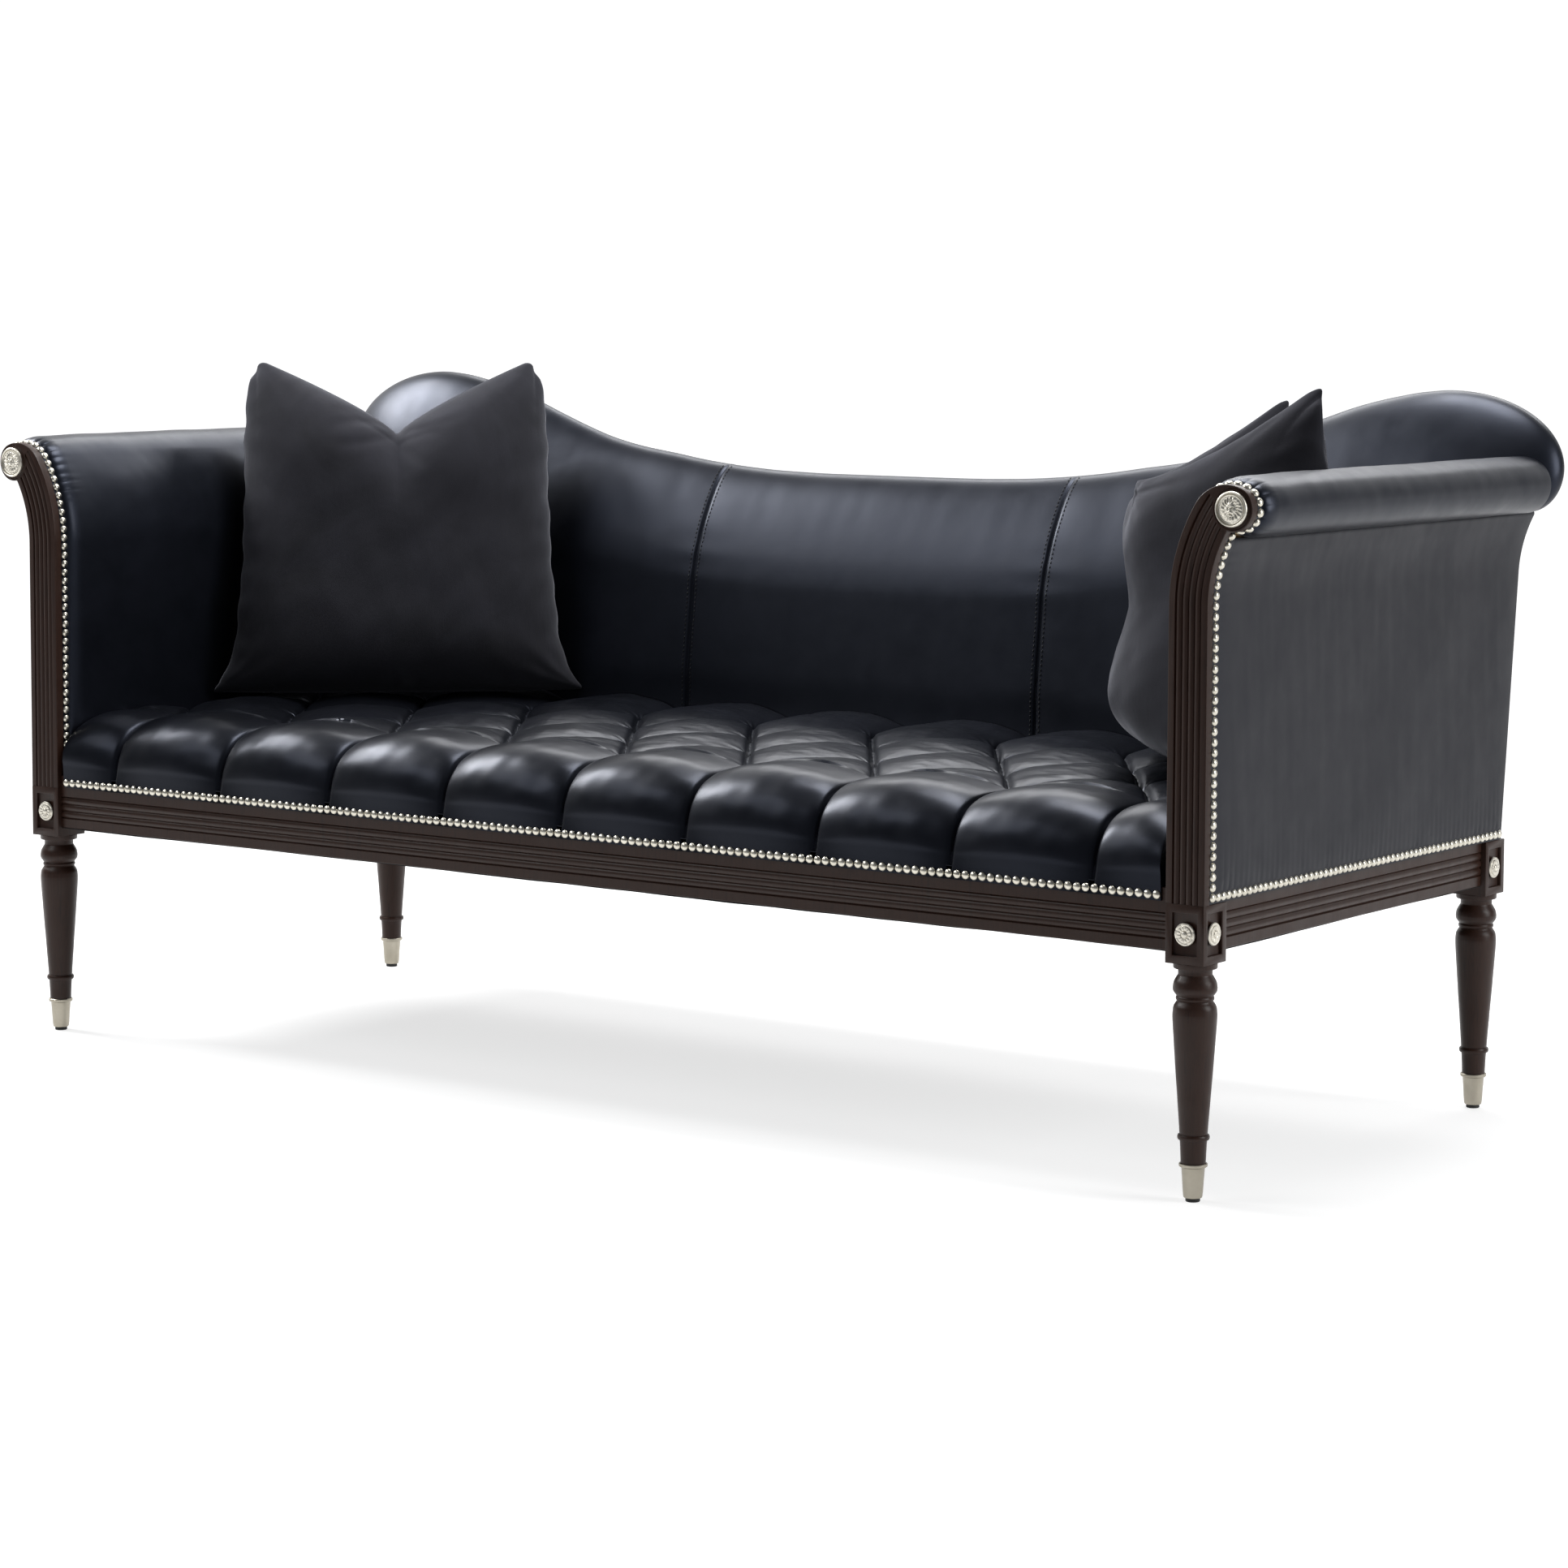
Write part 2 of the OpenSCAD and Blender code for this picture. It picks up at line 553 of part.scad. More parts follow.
module glide() {
    translate([leg_x, leg_y, 0]) rotate_extrude() polygon([[0, 0], [glide_r * 0.9, 0],
        [glide_r, glide_h * 0.3], [glide_r, glide_h], [glide_pin_r, glide_h],
        [glide_pin_r, glide_h + glide_pin_l], [0, glide_h + glide_pin_l]]);
}

module front_rail() {
    color(wood) difference() {
        union() {
            translate([block_w - half_w, rail_set - half_d, band_bottom])
                cube([base_w - 2 * block_w, rail_t, rail_top - band_bottom]);
            translate([block_w - half_w - tenon_l, rail_mid - half_d - tenon_t / 2,
                       band_mid - tenon_h / 2])
                cube([base_w - 2 * block_w + 2 * tenon_l, tenon_t, tenon_h]);
        }
        translate([-half_w, rail_set - half_d, band_mid]) rotate([90, 0, 90])
            linear_extrude(base_w) polygon(reed_cut(rail_reeds, rail_reed_pitch));
    }
}
module rear_rail() {
    color(wood) difference() {
        mirror([0, 1, 0]) union() {
            translate([block_w - half_w, rail_set - half_d, band_bottom])
                cube([base_w - 2 * block_w, rail_t, rail_top - band_bottom]);
            translate([block_w - half_w - tenon_l, rail_mid - half_d - tenon_t / 2,
                       band_mid - tenon_h / 2])
                cube([base_w - 2 * block_w + 2 * tenon_l, tenon_t, tenon_h]);
        }
        intersection() {
            behind(panel_t);
            translate([-base_w, 0, block_top]) cube([2 * base_w, base_d, rail_top]);
        }
    }
}
module side_rail() {
    color(wood) difference() {
        union() {
            translate([half_w - rail_set - rail_t, block_w - half_d, band_bottom])
                cube([rail_t, base_d - 2 * block_w, rail_top - band_bottom]);
            translate([half_w - rail_mid - tenon_t / 2, block_w - half_d - tenon_l,
                       band_mid - tenon_h / 2])
                cube([tenon_t, base_d - 2 * block_w + 2 * tenon_l, tenon_h]);
        }
        translate([half_w - rail_set, half_d, band_mid]) rotate([90, 0, 0])
            linear_extrude(base_d) polygon(flip(reed_cut(rail_reeds, rail_reed_pitch)));
    }
}
module ledger_rear() {
    color(bare_wood) translate([block_w - half_w, ledger_y, rail_top - ledger_h])
        cube([base_w - 2 * block_w, ledger_t, ledger_h]);
}
module ledger_side() {
    color(bare_wood) translate([half_w - rail_set - rail_t - ledger_t, block_w - half_d,
                                rail_top - ledger_h])
        cube([ledger_t, ledger_y - block_w + half_d, ledger_h]);
}
module brace() {
    inner = rail_set + rail_t;
    z0 = band_bottom + burlap_t;
    color(bare_wood) translate([half_w, -half_d, z0])
        linear_extrude(rail_top - ledger_h - z0) mirror([1, 0])
            polygon([[block_w, inner], [block_w + brace_l, inner], [inner, block_w + brace_l],
                     [inner, block_w], [block_w, block_w]]);
}
module stretcher(x) {
    color(bare_wood) translate([x - rail_t / 2, foam_y0, rail_top - ledger_h])
        cube([rail_t, ledger_y - foam_y0, ledger_h - rail_set]);
}
module seat_webbing() {
    n_long = 15;
    n_cross = 5;
    color(jute) {
        for (i = [0:n_long]) translate([seat_half * (2 * i / n_long - 1) * 0.95 - web_w / 2, burlap_y0,
                                        rail_top])
            cube([web_w, web_y1 - burlap_y0, web_t]);
        for (i = [0:n_cross]) translate([-web_x1, foam_y0 + web_w / 2
            + (ledger_y - foam_y0 - 2 * web_w) * i / n_cross, rail_top])
            cube([2 * web_x1, web_w, web_t]);
    }
}
module seat_burlap() {
    color(jute) translate([-web_x1, burlap_y0, rail_top + web_t])
        cube([2 * web_x1, web_y1 - burlap_y0, burlap_t]);
}
module seat_foam() {
    color(foam_colour) translate([-seat_half, foam_y0, deck_z])
        cube([2 * seat_half, foam_y1 - foam_y0, foam_t]);
}
module seat_cover() {
    rings = [for (i = [0:seat_steps]) seat_half * (2 * i / seat_steps - 1)];
    n = len(seat_ring(0));
    pts = [for (x = rings) for (p = seat_ring(x)) [x, p[0], p[1]]];
    // The closed end: the outer points are tied to the corners of the hollow over the foam
    outer = n - 10;
    mid = round(outer / 2);
    end = concat([[0, 1, n - 2], [0, n - 2, n - 1], [2, n - 2, 1]],
        [for (j = [n - 6:n - 3]) [2, j, j + 1]],
        [for (j = [2:mid - 1]) [n - 6, j, j + 1]], [[n - 6, mid, n - 7]],
        [for (j = [mid:outer]) [n - 7, j, j + 1]], [[n - 7, outer + 1, n - 8]]);
    color(leather) polyhedron(points = pts, faces = concat(
        [for (i = [0:seat_steps - 1]) for (j = [0:n - 1]) let (k = (j + 1) % n)
            each [[i * n + j, (i + 1) * n + k, (i + 1) * n + j], [i * n + j, i * n + k, (i + 1) * n + k]]],
        [for (f = end) [f[2], f[1], f[0]]], [for (f = end) [for (j = f) seat_steps * n + j]]));
}
module dust_cover() {
    inset = rail_set + 2 * cut;
    color(black) translate([0, 0, band_bottom - burlap_t]) difference() {
        translate([inset - half_w, inset - half_d, 0])
            cube([base_w - 2 * inset, base_d - 2 * inset, burlap_t]);
        for (x = [-1, 1], y = [-1, 1]) translate([x * half_w, y * half_d, burlap_t / 2])
            cube([2 * (block_w + cut), 2 * (block_w + cut), 2 * burlap_t], center = true);
    }
}

module post() {
    color(wood) difference() {
        union() {
            swept(-half_d, post_face_t - half_d) polygon(arm_outline(0, 0, block_top));
            swept(post_face_t - half_d, post_t - half_d)
                polygon(arm_outline(-leather_t, -leather_t, block_top));
        }
        difference() {
            union() {
                translate([leg_x, -half_d, block_top - cut]) linear_extrude(bend_z - block_top + cut)
                    polygon(cross(reed_cut(post_reeds, post_reed_pitch)));
                translate([half_w + bend_r, -half_d, bend_z]) rotate([90, 0, 0])
                    mirror([1, 0, 0]) rotate_extrude(angle = reed_turn, $fn = 180)
                        polygon([for (p = reed_cut(post_reeds, post_reed_pitch))
                            [bend_r + block_w / 2 + p[1], -p[0]]]);
            }
            translate([half_w + scroll_x, cut + post_t - half_d, scroll_z]) rotate([90, 0, 0])
                cylinder(r = scroll_r, h = post_t + 3 * cut);
        }
        translate([leg_x, post_t / 2 - half_d, block_top - cut])
            cylinder(r = dowel_r + fit, h = dowel_l / 2 + fit + cut);
    }
}
module post_dowel() {
    color(bare_wood) translate([leg_x, post_t / 2 - half_d, block_top - dowel_l / 2])
        cylinder(r = dowel_r, h = dowel_l);
}
module scroll_rosette() {
    color(nickel) translate([half_w + scroll_x, -half_d, scroll_z]) rotate([90, 0, 0])
        rosette(scroll_rosette_r, scroll_rosette_h);
}
module block_rosettes() {
    z = leg_h + block_h / 2;
    color(nickel) for (side = [false, true]) mirrored(side) {
        translate([leg_x, sunk_depth - half_d, z]) rotate([90, 0, 0])
            rosette(block_rosette_r, block_rosette_h);
        for (y = [leg_y, -leg_y]) translate([half_w - sunk_depth, y, z]) rotate([0, 90, 0])
            rosette(block_rosette_r, block_rosette_h);
    }
}
module arm_frame() {
    y0 = post_t - half_d;
    y1 = rear_y(rail_top) - (panel_t + back_frame_t);
    n = 4;
    post = block_w * 0.8;
    gap = (y1 - y0 - post * (n + 1)) / n;
    low_z = rail_top + post;
    high_z = bend_z - post;
    color(bare_wood) difference() {
        swept(y0, half_d) polygon(arm_outline(-arm_frame_in, -panel_t, rail_top));
        behind(panel_t + back_frame_t);
        for (i = [0:n - 1]) for (j = [0, 1])
            translate([half_w - base_w / 4, y0 + post + (gap + post) * i,
                       low_z + j * (high_z - low_z + post) / 2])
                cube([base_w / 2, gap, (high_z - low_z - post) / 2]);
    }
}
// Skin of the arm between two outlines; outside it is the part of the outside panel
module arm_skin(g, outside) {
    difference() {
        polygon(arm_outline(outside ? pad_over : g, 0, outside ? block_top + cut : deck_z));
        if (g > 0) polygon(arm_outline(-arm_frame_in, -panel_t, block_top - cut));
        else polygon(arm_outline(-leather_t, -leather_t, block_top - cut));
        if (outside) {
            translate([arm_split_x, arm_seam_z]) square([base_d, base_d]);
            translate([arm_split_x - base_d, 0]) square([base_d, 2 * base_d]);
        }
        else translate([arm_split_x, 0]) square([base_d, arm_seam_z]);
    }
}
module arm_pad_shape(reach) {
    swept(post_face_t - half_d, post_t - half_d) arm_skin(0, false);
    difference() {
        swept(post_t - half_d, half_d) arm_skin(pad_over, false);
        behind(reach);
    }
}
module arm_pad() {
    color(leather) arm_pad_shape(panel_t + back_frame_t + roll_over / 5);
}
module arm_panel() {
    color(outside_leather) difference() {
        union() {
            swept(post_face_t - half_d, post_t - half_d) arm_skin(0, true);
            swept(post_t - half_d, half_d) arm_skin(pad_over, true);
        }
        behind(0);
    }
}
module back_board(y0, y1, z0) {
    difference() {
        raked_board(y0, y1) polygon(on_rake(inset_outline(roll_over, z0 - cut * roll_over / 2)));
        translate([-base_w, 0, z0 - base_d]) cube([2 * base_w, base_d, base_d]);
    }
}
module back_frame() {
    n = 8;
    post = block_w * 0.85;
    w = (base_w - 2 * panel_t - post) / n;
    z1 = rail_top + post * 1.2;
    row = roll_h * 0.9;
    color(bare_wood) difference() {
        back_board(panel_t + back_frame_t, panel_t, rail_top);
        intersection() {
            raked_board(base_d, -base_d) polygon(on_rake(inset_outline(roll_over + post, z1)));
            for (i = [0:n - 1]) for (j = [0, 1])
                translate([(i - n / 2) * w + post / 2, 0, z1 + j * (row + post)])
                    cube([w - post, base_d, row]);
        }
    }
}
module back_panel() {
    color(outside_leather) back_board(panel_t, 0, block_top + cut);
}
module back_pad() {
    n = pad_ring;
    color(leather) difference() {
        polyhedron(points = pad_pts, faces = concat(
            [for (i = [0:n_out - 1]) for (j = [0:n - 1]) let (k = (j + 1) % n)
                each [[i * n + j, i * n + k, (i + 1) * n + k],
                      [i * n + j, (i + 1) * n + k, (i + 1) * n + j]]],
            [for (i = [0, n_out]) for (j = [0:n_rows - 1])
                let (a = i * n + j, b = i * n + j + 1, c = i * n + (n - j - 1) % n,
                     d = i * n + (n - j) % n)
                each i == 0 ? (j == 0 ? [[a, c, b]] : [[a, d, c], [a, c, b]])
                            : (j == 0 ? [[a, b, c]] : [[a, b, c], [a, c, d]])]));
        back_board(panel_t + back_frame_t + fit, -base_d, rail_top);
        for (side = [false, true]) mirrored(side) {
            arm_solid(panel_t + back_frame_t + roll_over / 5);
            difference() {
                swept(0, half_d) polygon(arm_outline(-arm_frame_in, -panel_t, rail_top));
                behind(panel_t + back_frame_t);
            }
        }
    }
}
// Whole arm with its padding, ending at a raked plane
module arm_solid(reach) {
    difference() {
        swept(0, half_d) polygon(arm_outline(pad_over, 0, rail_top));
        behind(reach);
    }
}

nail_x1 = seat_half - nail_d / 2;
module nails_front() {
    nails(row([-nail_x1, seat_front_y, nail_z], [nail_x1, seat_front_y, nail_z],
              [1, 0, 0], [0, 0, 1], [0, -1, 0]));
}
side_nail_y0 = post_face_t + nail_d / 2 - half_d;
side_nail_y1 = rear_y(nail_z) - nail_d * 0.6;
module nails_side() {
    nails(row([half_w, side_nail_y0, nail_z], [half_w, side_nail_y1, nail_z],
              [0, 1, 0], [0, 0, 1], [1, 0, 0]));
}
// Places along the post's outline, from the outside of the arm over the scroll to the inside
post_path = back_to_front(arm_outline(0, 0, nail_z + nail_pitch));
post_runs = [for (i = 0, s = 0; i < len(post_path);
    s = s + (i < len(post_path) - 1 ? norm(post_path[i + 1] - post_path[i]) : 0), i = i + 1) s];
post_corner = post_runs[bend_n + 2];
post_end = post_runs[len(post_runs) - 1] - (seat_edge_z - nail_z);
function run_index(s) = max([for (i = [0:len(post_runs) - 2]) if (post_runs[i] <= s) i]);
function path_row(s0, s1) =
    let (n = round((s1 - s0) / nail_pitch))
    [for (i = [0:n])
        let (s = s0 + (s1 - s0) * i / n, k = run_index(s), a = post_path[k], b = post_path[k + 1],
             t = (b - a) / norm(b - a), p = a + t * (s - post_runs[k]))
        [[half_w + p[0] + t[1] * soft_gap, side_nail_y0, p[1] - t[0] * soft_gap], [0, 1, 0],
             [t[0], 0, t[1]], [t[1], 0, -t[0]]]];
module nails_post() {
    nails(concat(path_row(0, post_corner - nail_d * 0.7), path_row(post_corner + nail_d * 0.7, post_end)));
}
// Cord along the nailed lower edge of the outside back
module rear_edge_strip() {
    color(outside_leather) translate([0, half_d - back_set, rail_top]) rotate([-rake, 0, 0])
        translate([panel_t - half_w, 0, block_top + cut - rail_top])
            cube([base_w - 2 * panel_t, leather_t, nail_d]);
}
module pillow(at, turn) {
    n = pillow_steps;
    rows = n + 1;
    front = [for (i = [0:n]) for (j = [0:n]) pillow_at(2 * i / n - 1, 2 * j / n - 1, -1)];
    rear = [for (i = [1:n - 1]) for (j = [1:n - 1]) pillow_at(2 * i / n - 1, 2 * j / n - 1, 1)];
    color(velvet) translate([at[0], at[1], crown_z + soft_gap]) rotate([0, 0, turn])
        rotate([-pillow_lean, 0, 0])
            polyhedron(points = concat(front, rear), faces = concat(
                [for (i = [0:n - 1]) for (j = [0:n - 1])
                    each cell(i, j, i * rows + j, i * rows + j + 1, (i + 1) * rows + j + 1,
                              (i + 1) * rows + j)],
                [for (i = [0:n - 1]) for (j = [0:n - 1]) for (f = cell(i, j, rear_index(i, j),
                    rear_index(i, j + 1), rear_index(i + 1, j + 1), rear_index(i + 1, j)))
                    [f[2], f[1], f[0]]]));
}
// Two triangles of a cell, split so that none has all its corners on the seam
function cell(i, j, a, b, c, d) =
    (2 * i < pillow_steps) == (2 * j < pillow_steps) ? [[a, b, c], [a, c, d]]
    : [[a, b, d], [b, c, d]];
// Index of a pillow's rear point; points on the seam are shared with the front
function rear_index(i, j) =
    i == 0 || j == 0 || i == pillow_steps || j == pillow_steps ? i * (pillow_steps + 1) + j
    : (pillow_steps + 1) * (pillow_steps + 1) + (i - 1) * (pillow_steps - 1) + j - 1;

placed() color(wood) mirrored(true) turned(false) leg(false);  // leg_front_left
placed() color(wood) mirrored(false) turned(false) leg(false);  // leg_front_right
placed() color(wood) mirrored(true) turned(true) leg(true);  // leg_rear_left
placed() color(wood) mirrored(false) turned(true) leg(true);  // leg_rear_right
placed() color(nickel) mirrored(true) turned(false) ferrule();  // ferrule_front_left
placed() color(nickel) mirrored(false) turned(false) ferrule();  // ferrule_front_right
placed() color(nickel) mirrored(true) turned(true) ferrule();  // ferrule_rear_left
placed() color(nickel) mirrored(false) turned(true) ferrule();  // ferrule_rear_right
placed() color(black) mirrored(true) turned(false) glide();  // glide_front_left
placed() color(black) mirrored(false) turned(false) glide();  // glide_front_right
placed() color(black) mirrored(true) turned(true) glide();  // glide_rear_left
placed() color(black) mirrored(false) turned(true) glide();  // glide_rear_right
placed() front_rail();
placed() rear_rail();
placed() mirrored(true) side_rail();  // side_rail_left
placed() mirrored(false) side_rail();  // side_rail_right
placed() ledger_rear();
placed() mirrored(true) ledger_side();  // ledger_left
placed() mirrored(false) ledger_side();  // ledger_right
placed() mirrored(true) turned(false) brace();  // brace_front_left
placed() mirrored(false) turned(false) brace();  // brace_front_right
placed() mirrored(true) turned(true) brace();  // brace_rear_left
placed() mirrored(false) turned(true) brace();  // brace_rear_right
placed() stretcher(-base_w / 6);  // stretcher_left
placed() stretcher(base_w / 6);  // stretcher_right
placed() seat_webbing();
placed() seat_burlap();
placed() seat_foam();
placed() seat_cover();
placed() dust_cover();
placed() mirrored(true) post();  // post_left
placed() mirrored(false) post();  // post_right
placed() mirrored(true) post_dowel();  // post_dowel_left
placed() mirrored(false) post_dowel();  // post_dowel_right
placed() mirrored(true) scroll_rosette();  // scroll_rosette_left
placed() mirrored(false) scroll_rosette();  // scroll_rosette_right
placed() block_rosettes();
placed() mirrored(true) arm_frame();  // arm_frame_left
placed() mirrored(false) arm_frame();  // arm_frame_right
placed() mirrored(true) arm_pad();  // arm_pad_left
placed() mirrored(false) arm_pad();  // arm_pad_right
placed() mirrored(true) arm_panel();  // arm_panel_left
placed() mirrored(false) arm_panel();  // arm_panel_right
placed() back_frame();
placed() back_pad();
placed() back_panel();
placed() rear_edge_strip();
placed() nails_front();
placed() mirrored(true) nails_side();  // nails_side_left
placed() mirrored(false) nails_side();  // nails_side_right
placed() mirrored(true) nails_post();  // nails_post_left
placed() mirrored(false) nails_post();  // nails_post_right
placed() pillow(pillow_left_at, pillow_left_turn);  // pillow_left
placed() pillow(pillow_right_at, pillow_right_turn);  // pillow_right
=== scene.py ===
# Upholstered settee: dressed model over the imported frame.
import bpy, bmesh, json, math
import numpy as np
from mathutils import Matrix, Vector


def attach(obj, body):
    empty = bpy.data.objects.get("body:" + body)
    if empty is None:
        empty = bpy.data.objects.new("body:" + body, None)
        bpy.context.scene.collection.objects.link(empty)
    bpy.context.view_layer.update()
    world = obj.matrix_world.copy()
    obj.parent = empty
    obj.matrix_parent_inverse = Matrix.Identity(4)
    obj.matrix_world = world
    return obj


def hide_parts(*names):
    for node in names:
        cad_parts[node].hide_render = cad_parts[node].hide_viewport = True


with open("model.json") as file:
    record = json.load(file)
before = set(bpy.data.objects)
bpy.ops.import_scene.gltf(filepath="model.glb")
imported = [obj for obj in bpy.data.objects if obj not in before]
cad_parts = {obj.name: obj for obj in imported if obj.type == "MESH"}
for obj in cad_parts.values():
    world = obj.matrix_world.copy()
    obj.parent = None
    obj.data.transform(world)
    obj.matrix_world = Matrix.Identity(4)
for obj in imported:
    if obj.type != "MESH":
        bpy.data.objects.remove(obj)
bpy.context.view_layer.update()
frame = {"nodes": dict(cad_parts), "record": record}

FY = -19.8759                      # from the drawing, centred on the base, to the frame, mm

# ---------------- camera
yaw, pitch, roll = 0.634857907, 0.0858543205, 0.00302665983      # fitted to the photo's corners
CAM_X, CAM_Y, CAM_Z = 3.54347, -4.69290, 1.10110
fwd = Vector((-math.sin(yaw), math.cos(yaw), 0))
rgt = Vector((math.cos(yaw), math.sin(yaw), 0))
up = Vector((0, 0, 1))
f3 = fwd * math.cos(pitch) - up * math.sin(pitch)
u2 = up * math.cos(pitch) + fwd * math.sin(pitch)
r3 = rgt * math.cos(roll) + u2 * math.sin(roll)
u3 = u2 * math.cos(roll) - rgt * math.sin(roll)
cam_data = bpy.data.cameras.new("camera")
cam_data.sensor_width = 36.0
cam_data.lens = 96.18
cam_data.shift_y = -0.0859
cam_data.clip_end = 60
cam = bpy.data.objects.new("camera", cam_data)
cam.matrix_world = Matrix((
    (r3.x, u3.x, -f3.x, CAM_X), (r3.y, u3.y, -f3.y, CAM_Y + FY / 1000),
    (r3.z, u3.z, -f3.z, CAM_Z), (0, 0, 0, 1)))
bpy.context.collection.objects.link(cam)
bpy.context.scene.camera = cam

# ---------------- sizes, mm
W2, D2 = 1003.0, 395.0             # half the base's width and depth
LEG_H, BLOCK, BLOCK_H = 293.0, 54.0, 73.0
TOP = LEG_H + BLOCK_H              # lower edge of the leather
RAIL_TOP = TOP + 18
NAIL_Z = TOP + 8
PAD, GAP = 8.5, 0.4                # padding over the frame, and room between neighbours
SHOW = 13.0                        # depth of the scroll post that shows before the leather
SC, SR = np.array([32.0, 843.0]), 27.5         # scroll: centre from the base's side, radius
BC, BR = np.array([180.0, 725.0]), 180.0       # bend of the outside arm
CR = 50.0                          # reverse bend under the scroll, inside
RAKE = math.radians(6.3)
CRISP = 0.6                        # edges that turn by more than this are shaded crisp, rad
HUMP_Z, DIP_Z, HUMP_X, EAR_W, EAR_Z = 967.0, 825.0, 900.0, 172.0, 862.0
SEAM_X = 313.0                     # sewn seams of the inside back
TUFT_Z, CROWN_Z, TUFT_W, TUFT_D = 462.0, 481.0, 210.0, 146.0
SEAT_Y0 = 4 - D2
TUFT_Y0 = SEAT_Y0 + 140


def meet(a, ra, b, rb, side):
    """Where the circles round a and b cross, on the left of a to b for side 1."""
    d = np.hypot(*(b - a))
    u = (b - a) / d
    n = np.array([-u[1], u[0]])
    s = (d * d + ra * ra - rb * rb) / (2 * d)
    return a + u * s + n * side * math.sqrt(max(0, ra * ra - s * s))


def bearing(c, p):
    return math.atan2(p[1] - c[1], p[0] - c[0])


CC = meet(BC, BR + BLOCK - CR, SC, CR - SR, 1)
CA0, CA1 = bearing(BC, CC), bearing(CC, SC)


def arm_outline(gi, go, z0, n):
    """Outline of the arm from the inside foot over the scroll to the outside foot, gi and go
    outside the wood on the two sides, with n points on each of its six runs."""
    foot = meet(BC, BR - go, SC, SR + gi, 1)
    a1 = bearing(SC, foot)
    a1 = a1 if a1 < 0 else a1 - 2 * math.pi
    pts = [(-BLOCK - gi, z0 + (BC[1] - z0) * i / n[0]) for i in range(n[0])]
    for c, r, start, stop, count in (
            (BC, BR + BLOCK + gi, math.pi, CA0, n[1]), (CC, CR + gi, CA0, CA1, n[2]),
            (SC, SR + gi, CA1, a1, n[3]), (BC, BR - go, bearing(BC, foot), math.pi, n[4])):
        for i in range(count):
            a = start + (stop - start) * i / count
            pts.append(tuple(c + r * np.array([math.cos(a), math.sin(a)])))
    pts += [(go, BC[1] + (z0 - BC[1]) * i / n[5]) for i in range(n[5] + 1)]
    return np.array(pts)


def rear_y(z):
    """Rear face of the frame at height z."""
    return D2 - 10 + math.tan(RAKE) * (z - RAIL_TOP)


def inside_y(z):
    """Face of the inside back at height z."""
    return rear_y(z) - 103.0


# ---------------- mesh helpers
def to_m(v):
    """Drawing points in mm to the frame, in m."""
    v = np.asarray(v, float).copy()
    v[:, 1] += FY
    return v / 1000.0


def plain(name, verts, faces):
    """Object of points in mm on the drawing, with nothing set on it yet."""
    me = bpy.data.meshes.new(name)
    me.from_pydata([tuple(p) for p in to_m(verts)], [], [tuple(int(i) for i in f) for f in faces])
    me.validate()
    ob = bpy.data.objects.new(name, me)
    bpy.context.collection.objects.link(ob)
    return ob


def make(name, verts, faces, mat, slot, body="settee", node=None, sharp=None):
    """Smooth-shaded piece vis_<name>, with edges over the angle sharp kept crisp.

    It stands for the frame's node of its own name, for node if given, or for none if ""."""
    ob = plain("vis_" + name, verts, faces)
    me = ob.data
    me.update()
    bm = bmesh.new()
    bm.from_mesh(me)
    bmesh.ops.recalc_face_normals(bm, faces=bm.faces)
    for f in bm.faces:
        f.smooth = True
    if sharp:
        for e in folded(bm, sharp):
            e.smooth = False
    bm.to_mesh(me)
    bm.free()
    me.update()
    me.materials.append(mat)
    dress(ob, slot, body, name if node is None else node)
    return ob


def folded(bm, angle):
    """Edges where two faces meet at more than angle."""
    return [e for e in bm.edges if len(e.link_faces) == 2 and e.calc_face_angle() > angle]


def dress(ob, slot, body, node):
    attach(ob, body)
    if node:
        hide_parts(node)


def grid_faces(n, m, close_m=False):
    """Quads over n rows of m points, each row closed on itself if close_m."""
    f = []
    for i in range(n - 1):
        for j in range(m if close_m else m - 1):
            k = (j + 1) % m
            f.append((i * m + j, i * m + k, (i + 1) * m + k, (i + 1) * m + j))
    return f


def capped(n, m, flip=False):
    """Quads over n closed rows of m points, with a face over the first row and the last."""
    ends = [tuple(range(m))[::-1], tuple(range((n - 1) * m, n * m))]
    return grid_faces(n, m, close_m=True) + [e[::-1] if flip else e for e in ends]


def join_parts(parts):
    vs, fs, o = [], [], 0
    for v, f in parts:
        vs.append(np.asarray(v, float))
        fs += [tuple(i + o for i in q) for q in f]
        o += len(v)
    return np.vstack(vs), fs


def lathe(profile, seg):
    """Verts and faces of a profile of (r, z) turned about Z; ends on the axis are closed."""
    pr = np.asarray(profile, float)
    a = np.arange(seg) * 2 * math.pi / seg
    v = np.stack([np.outer(pr[:, 0], np.cos(a)), np.outer(pr[:, 0], np.sin(a)),
                  np.repeat(pr[:, 1:2], seg, 1)], -1).reshape(-1, 3)
    return v, grid_faces(len(pr), seg, close_m=True)


def catmull(pts, k):
    """Smooth curve through pts, with k steps between each two."""
    p = np.asarray(pts, float)
    q = np.vstack([2 * p[0] - p[1], p, 2 * p[-1] - p[-2]])
    out = []
    for i in range(len(p) - 1):
        p0, p1, p2, p3 = q[i:i + 4]
        for j in range(k):
            t = j / k
            out.append(0.5 * ((2 * p1) + (-p0 + p2) * t + (2 * p0 - 5 * p1 + 4 * p2 - p3) * t * t
                              + (-p0 + 3 * p1 - 3 * p2 + p3) * t ** 3))
    out.append(p[-1])
    return np.array(out)


def handed(side, v, f):
    """A right-hand solid as it is, or mirrored for the left."""
    return (v, f) if side == "right" else (v * [-1, 1, 1], [tuple(reversed(q)) for q in f])


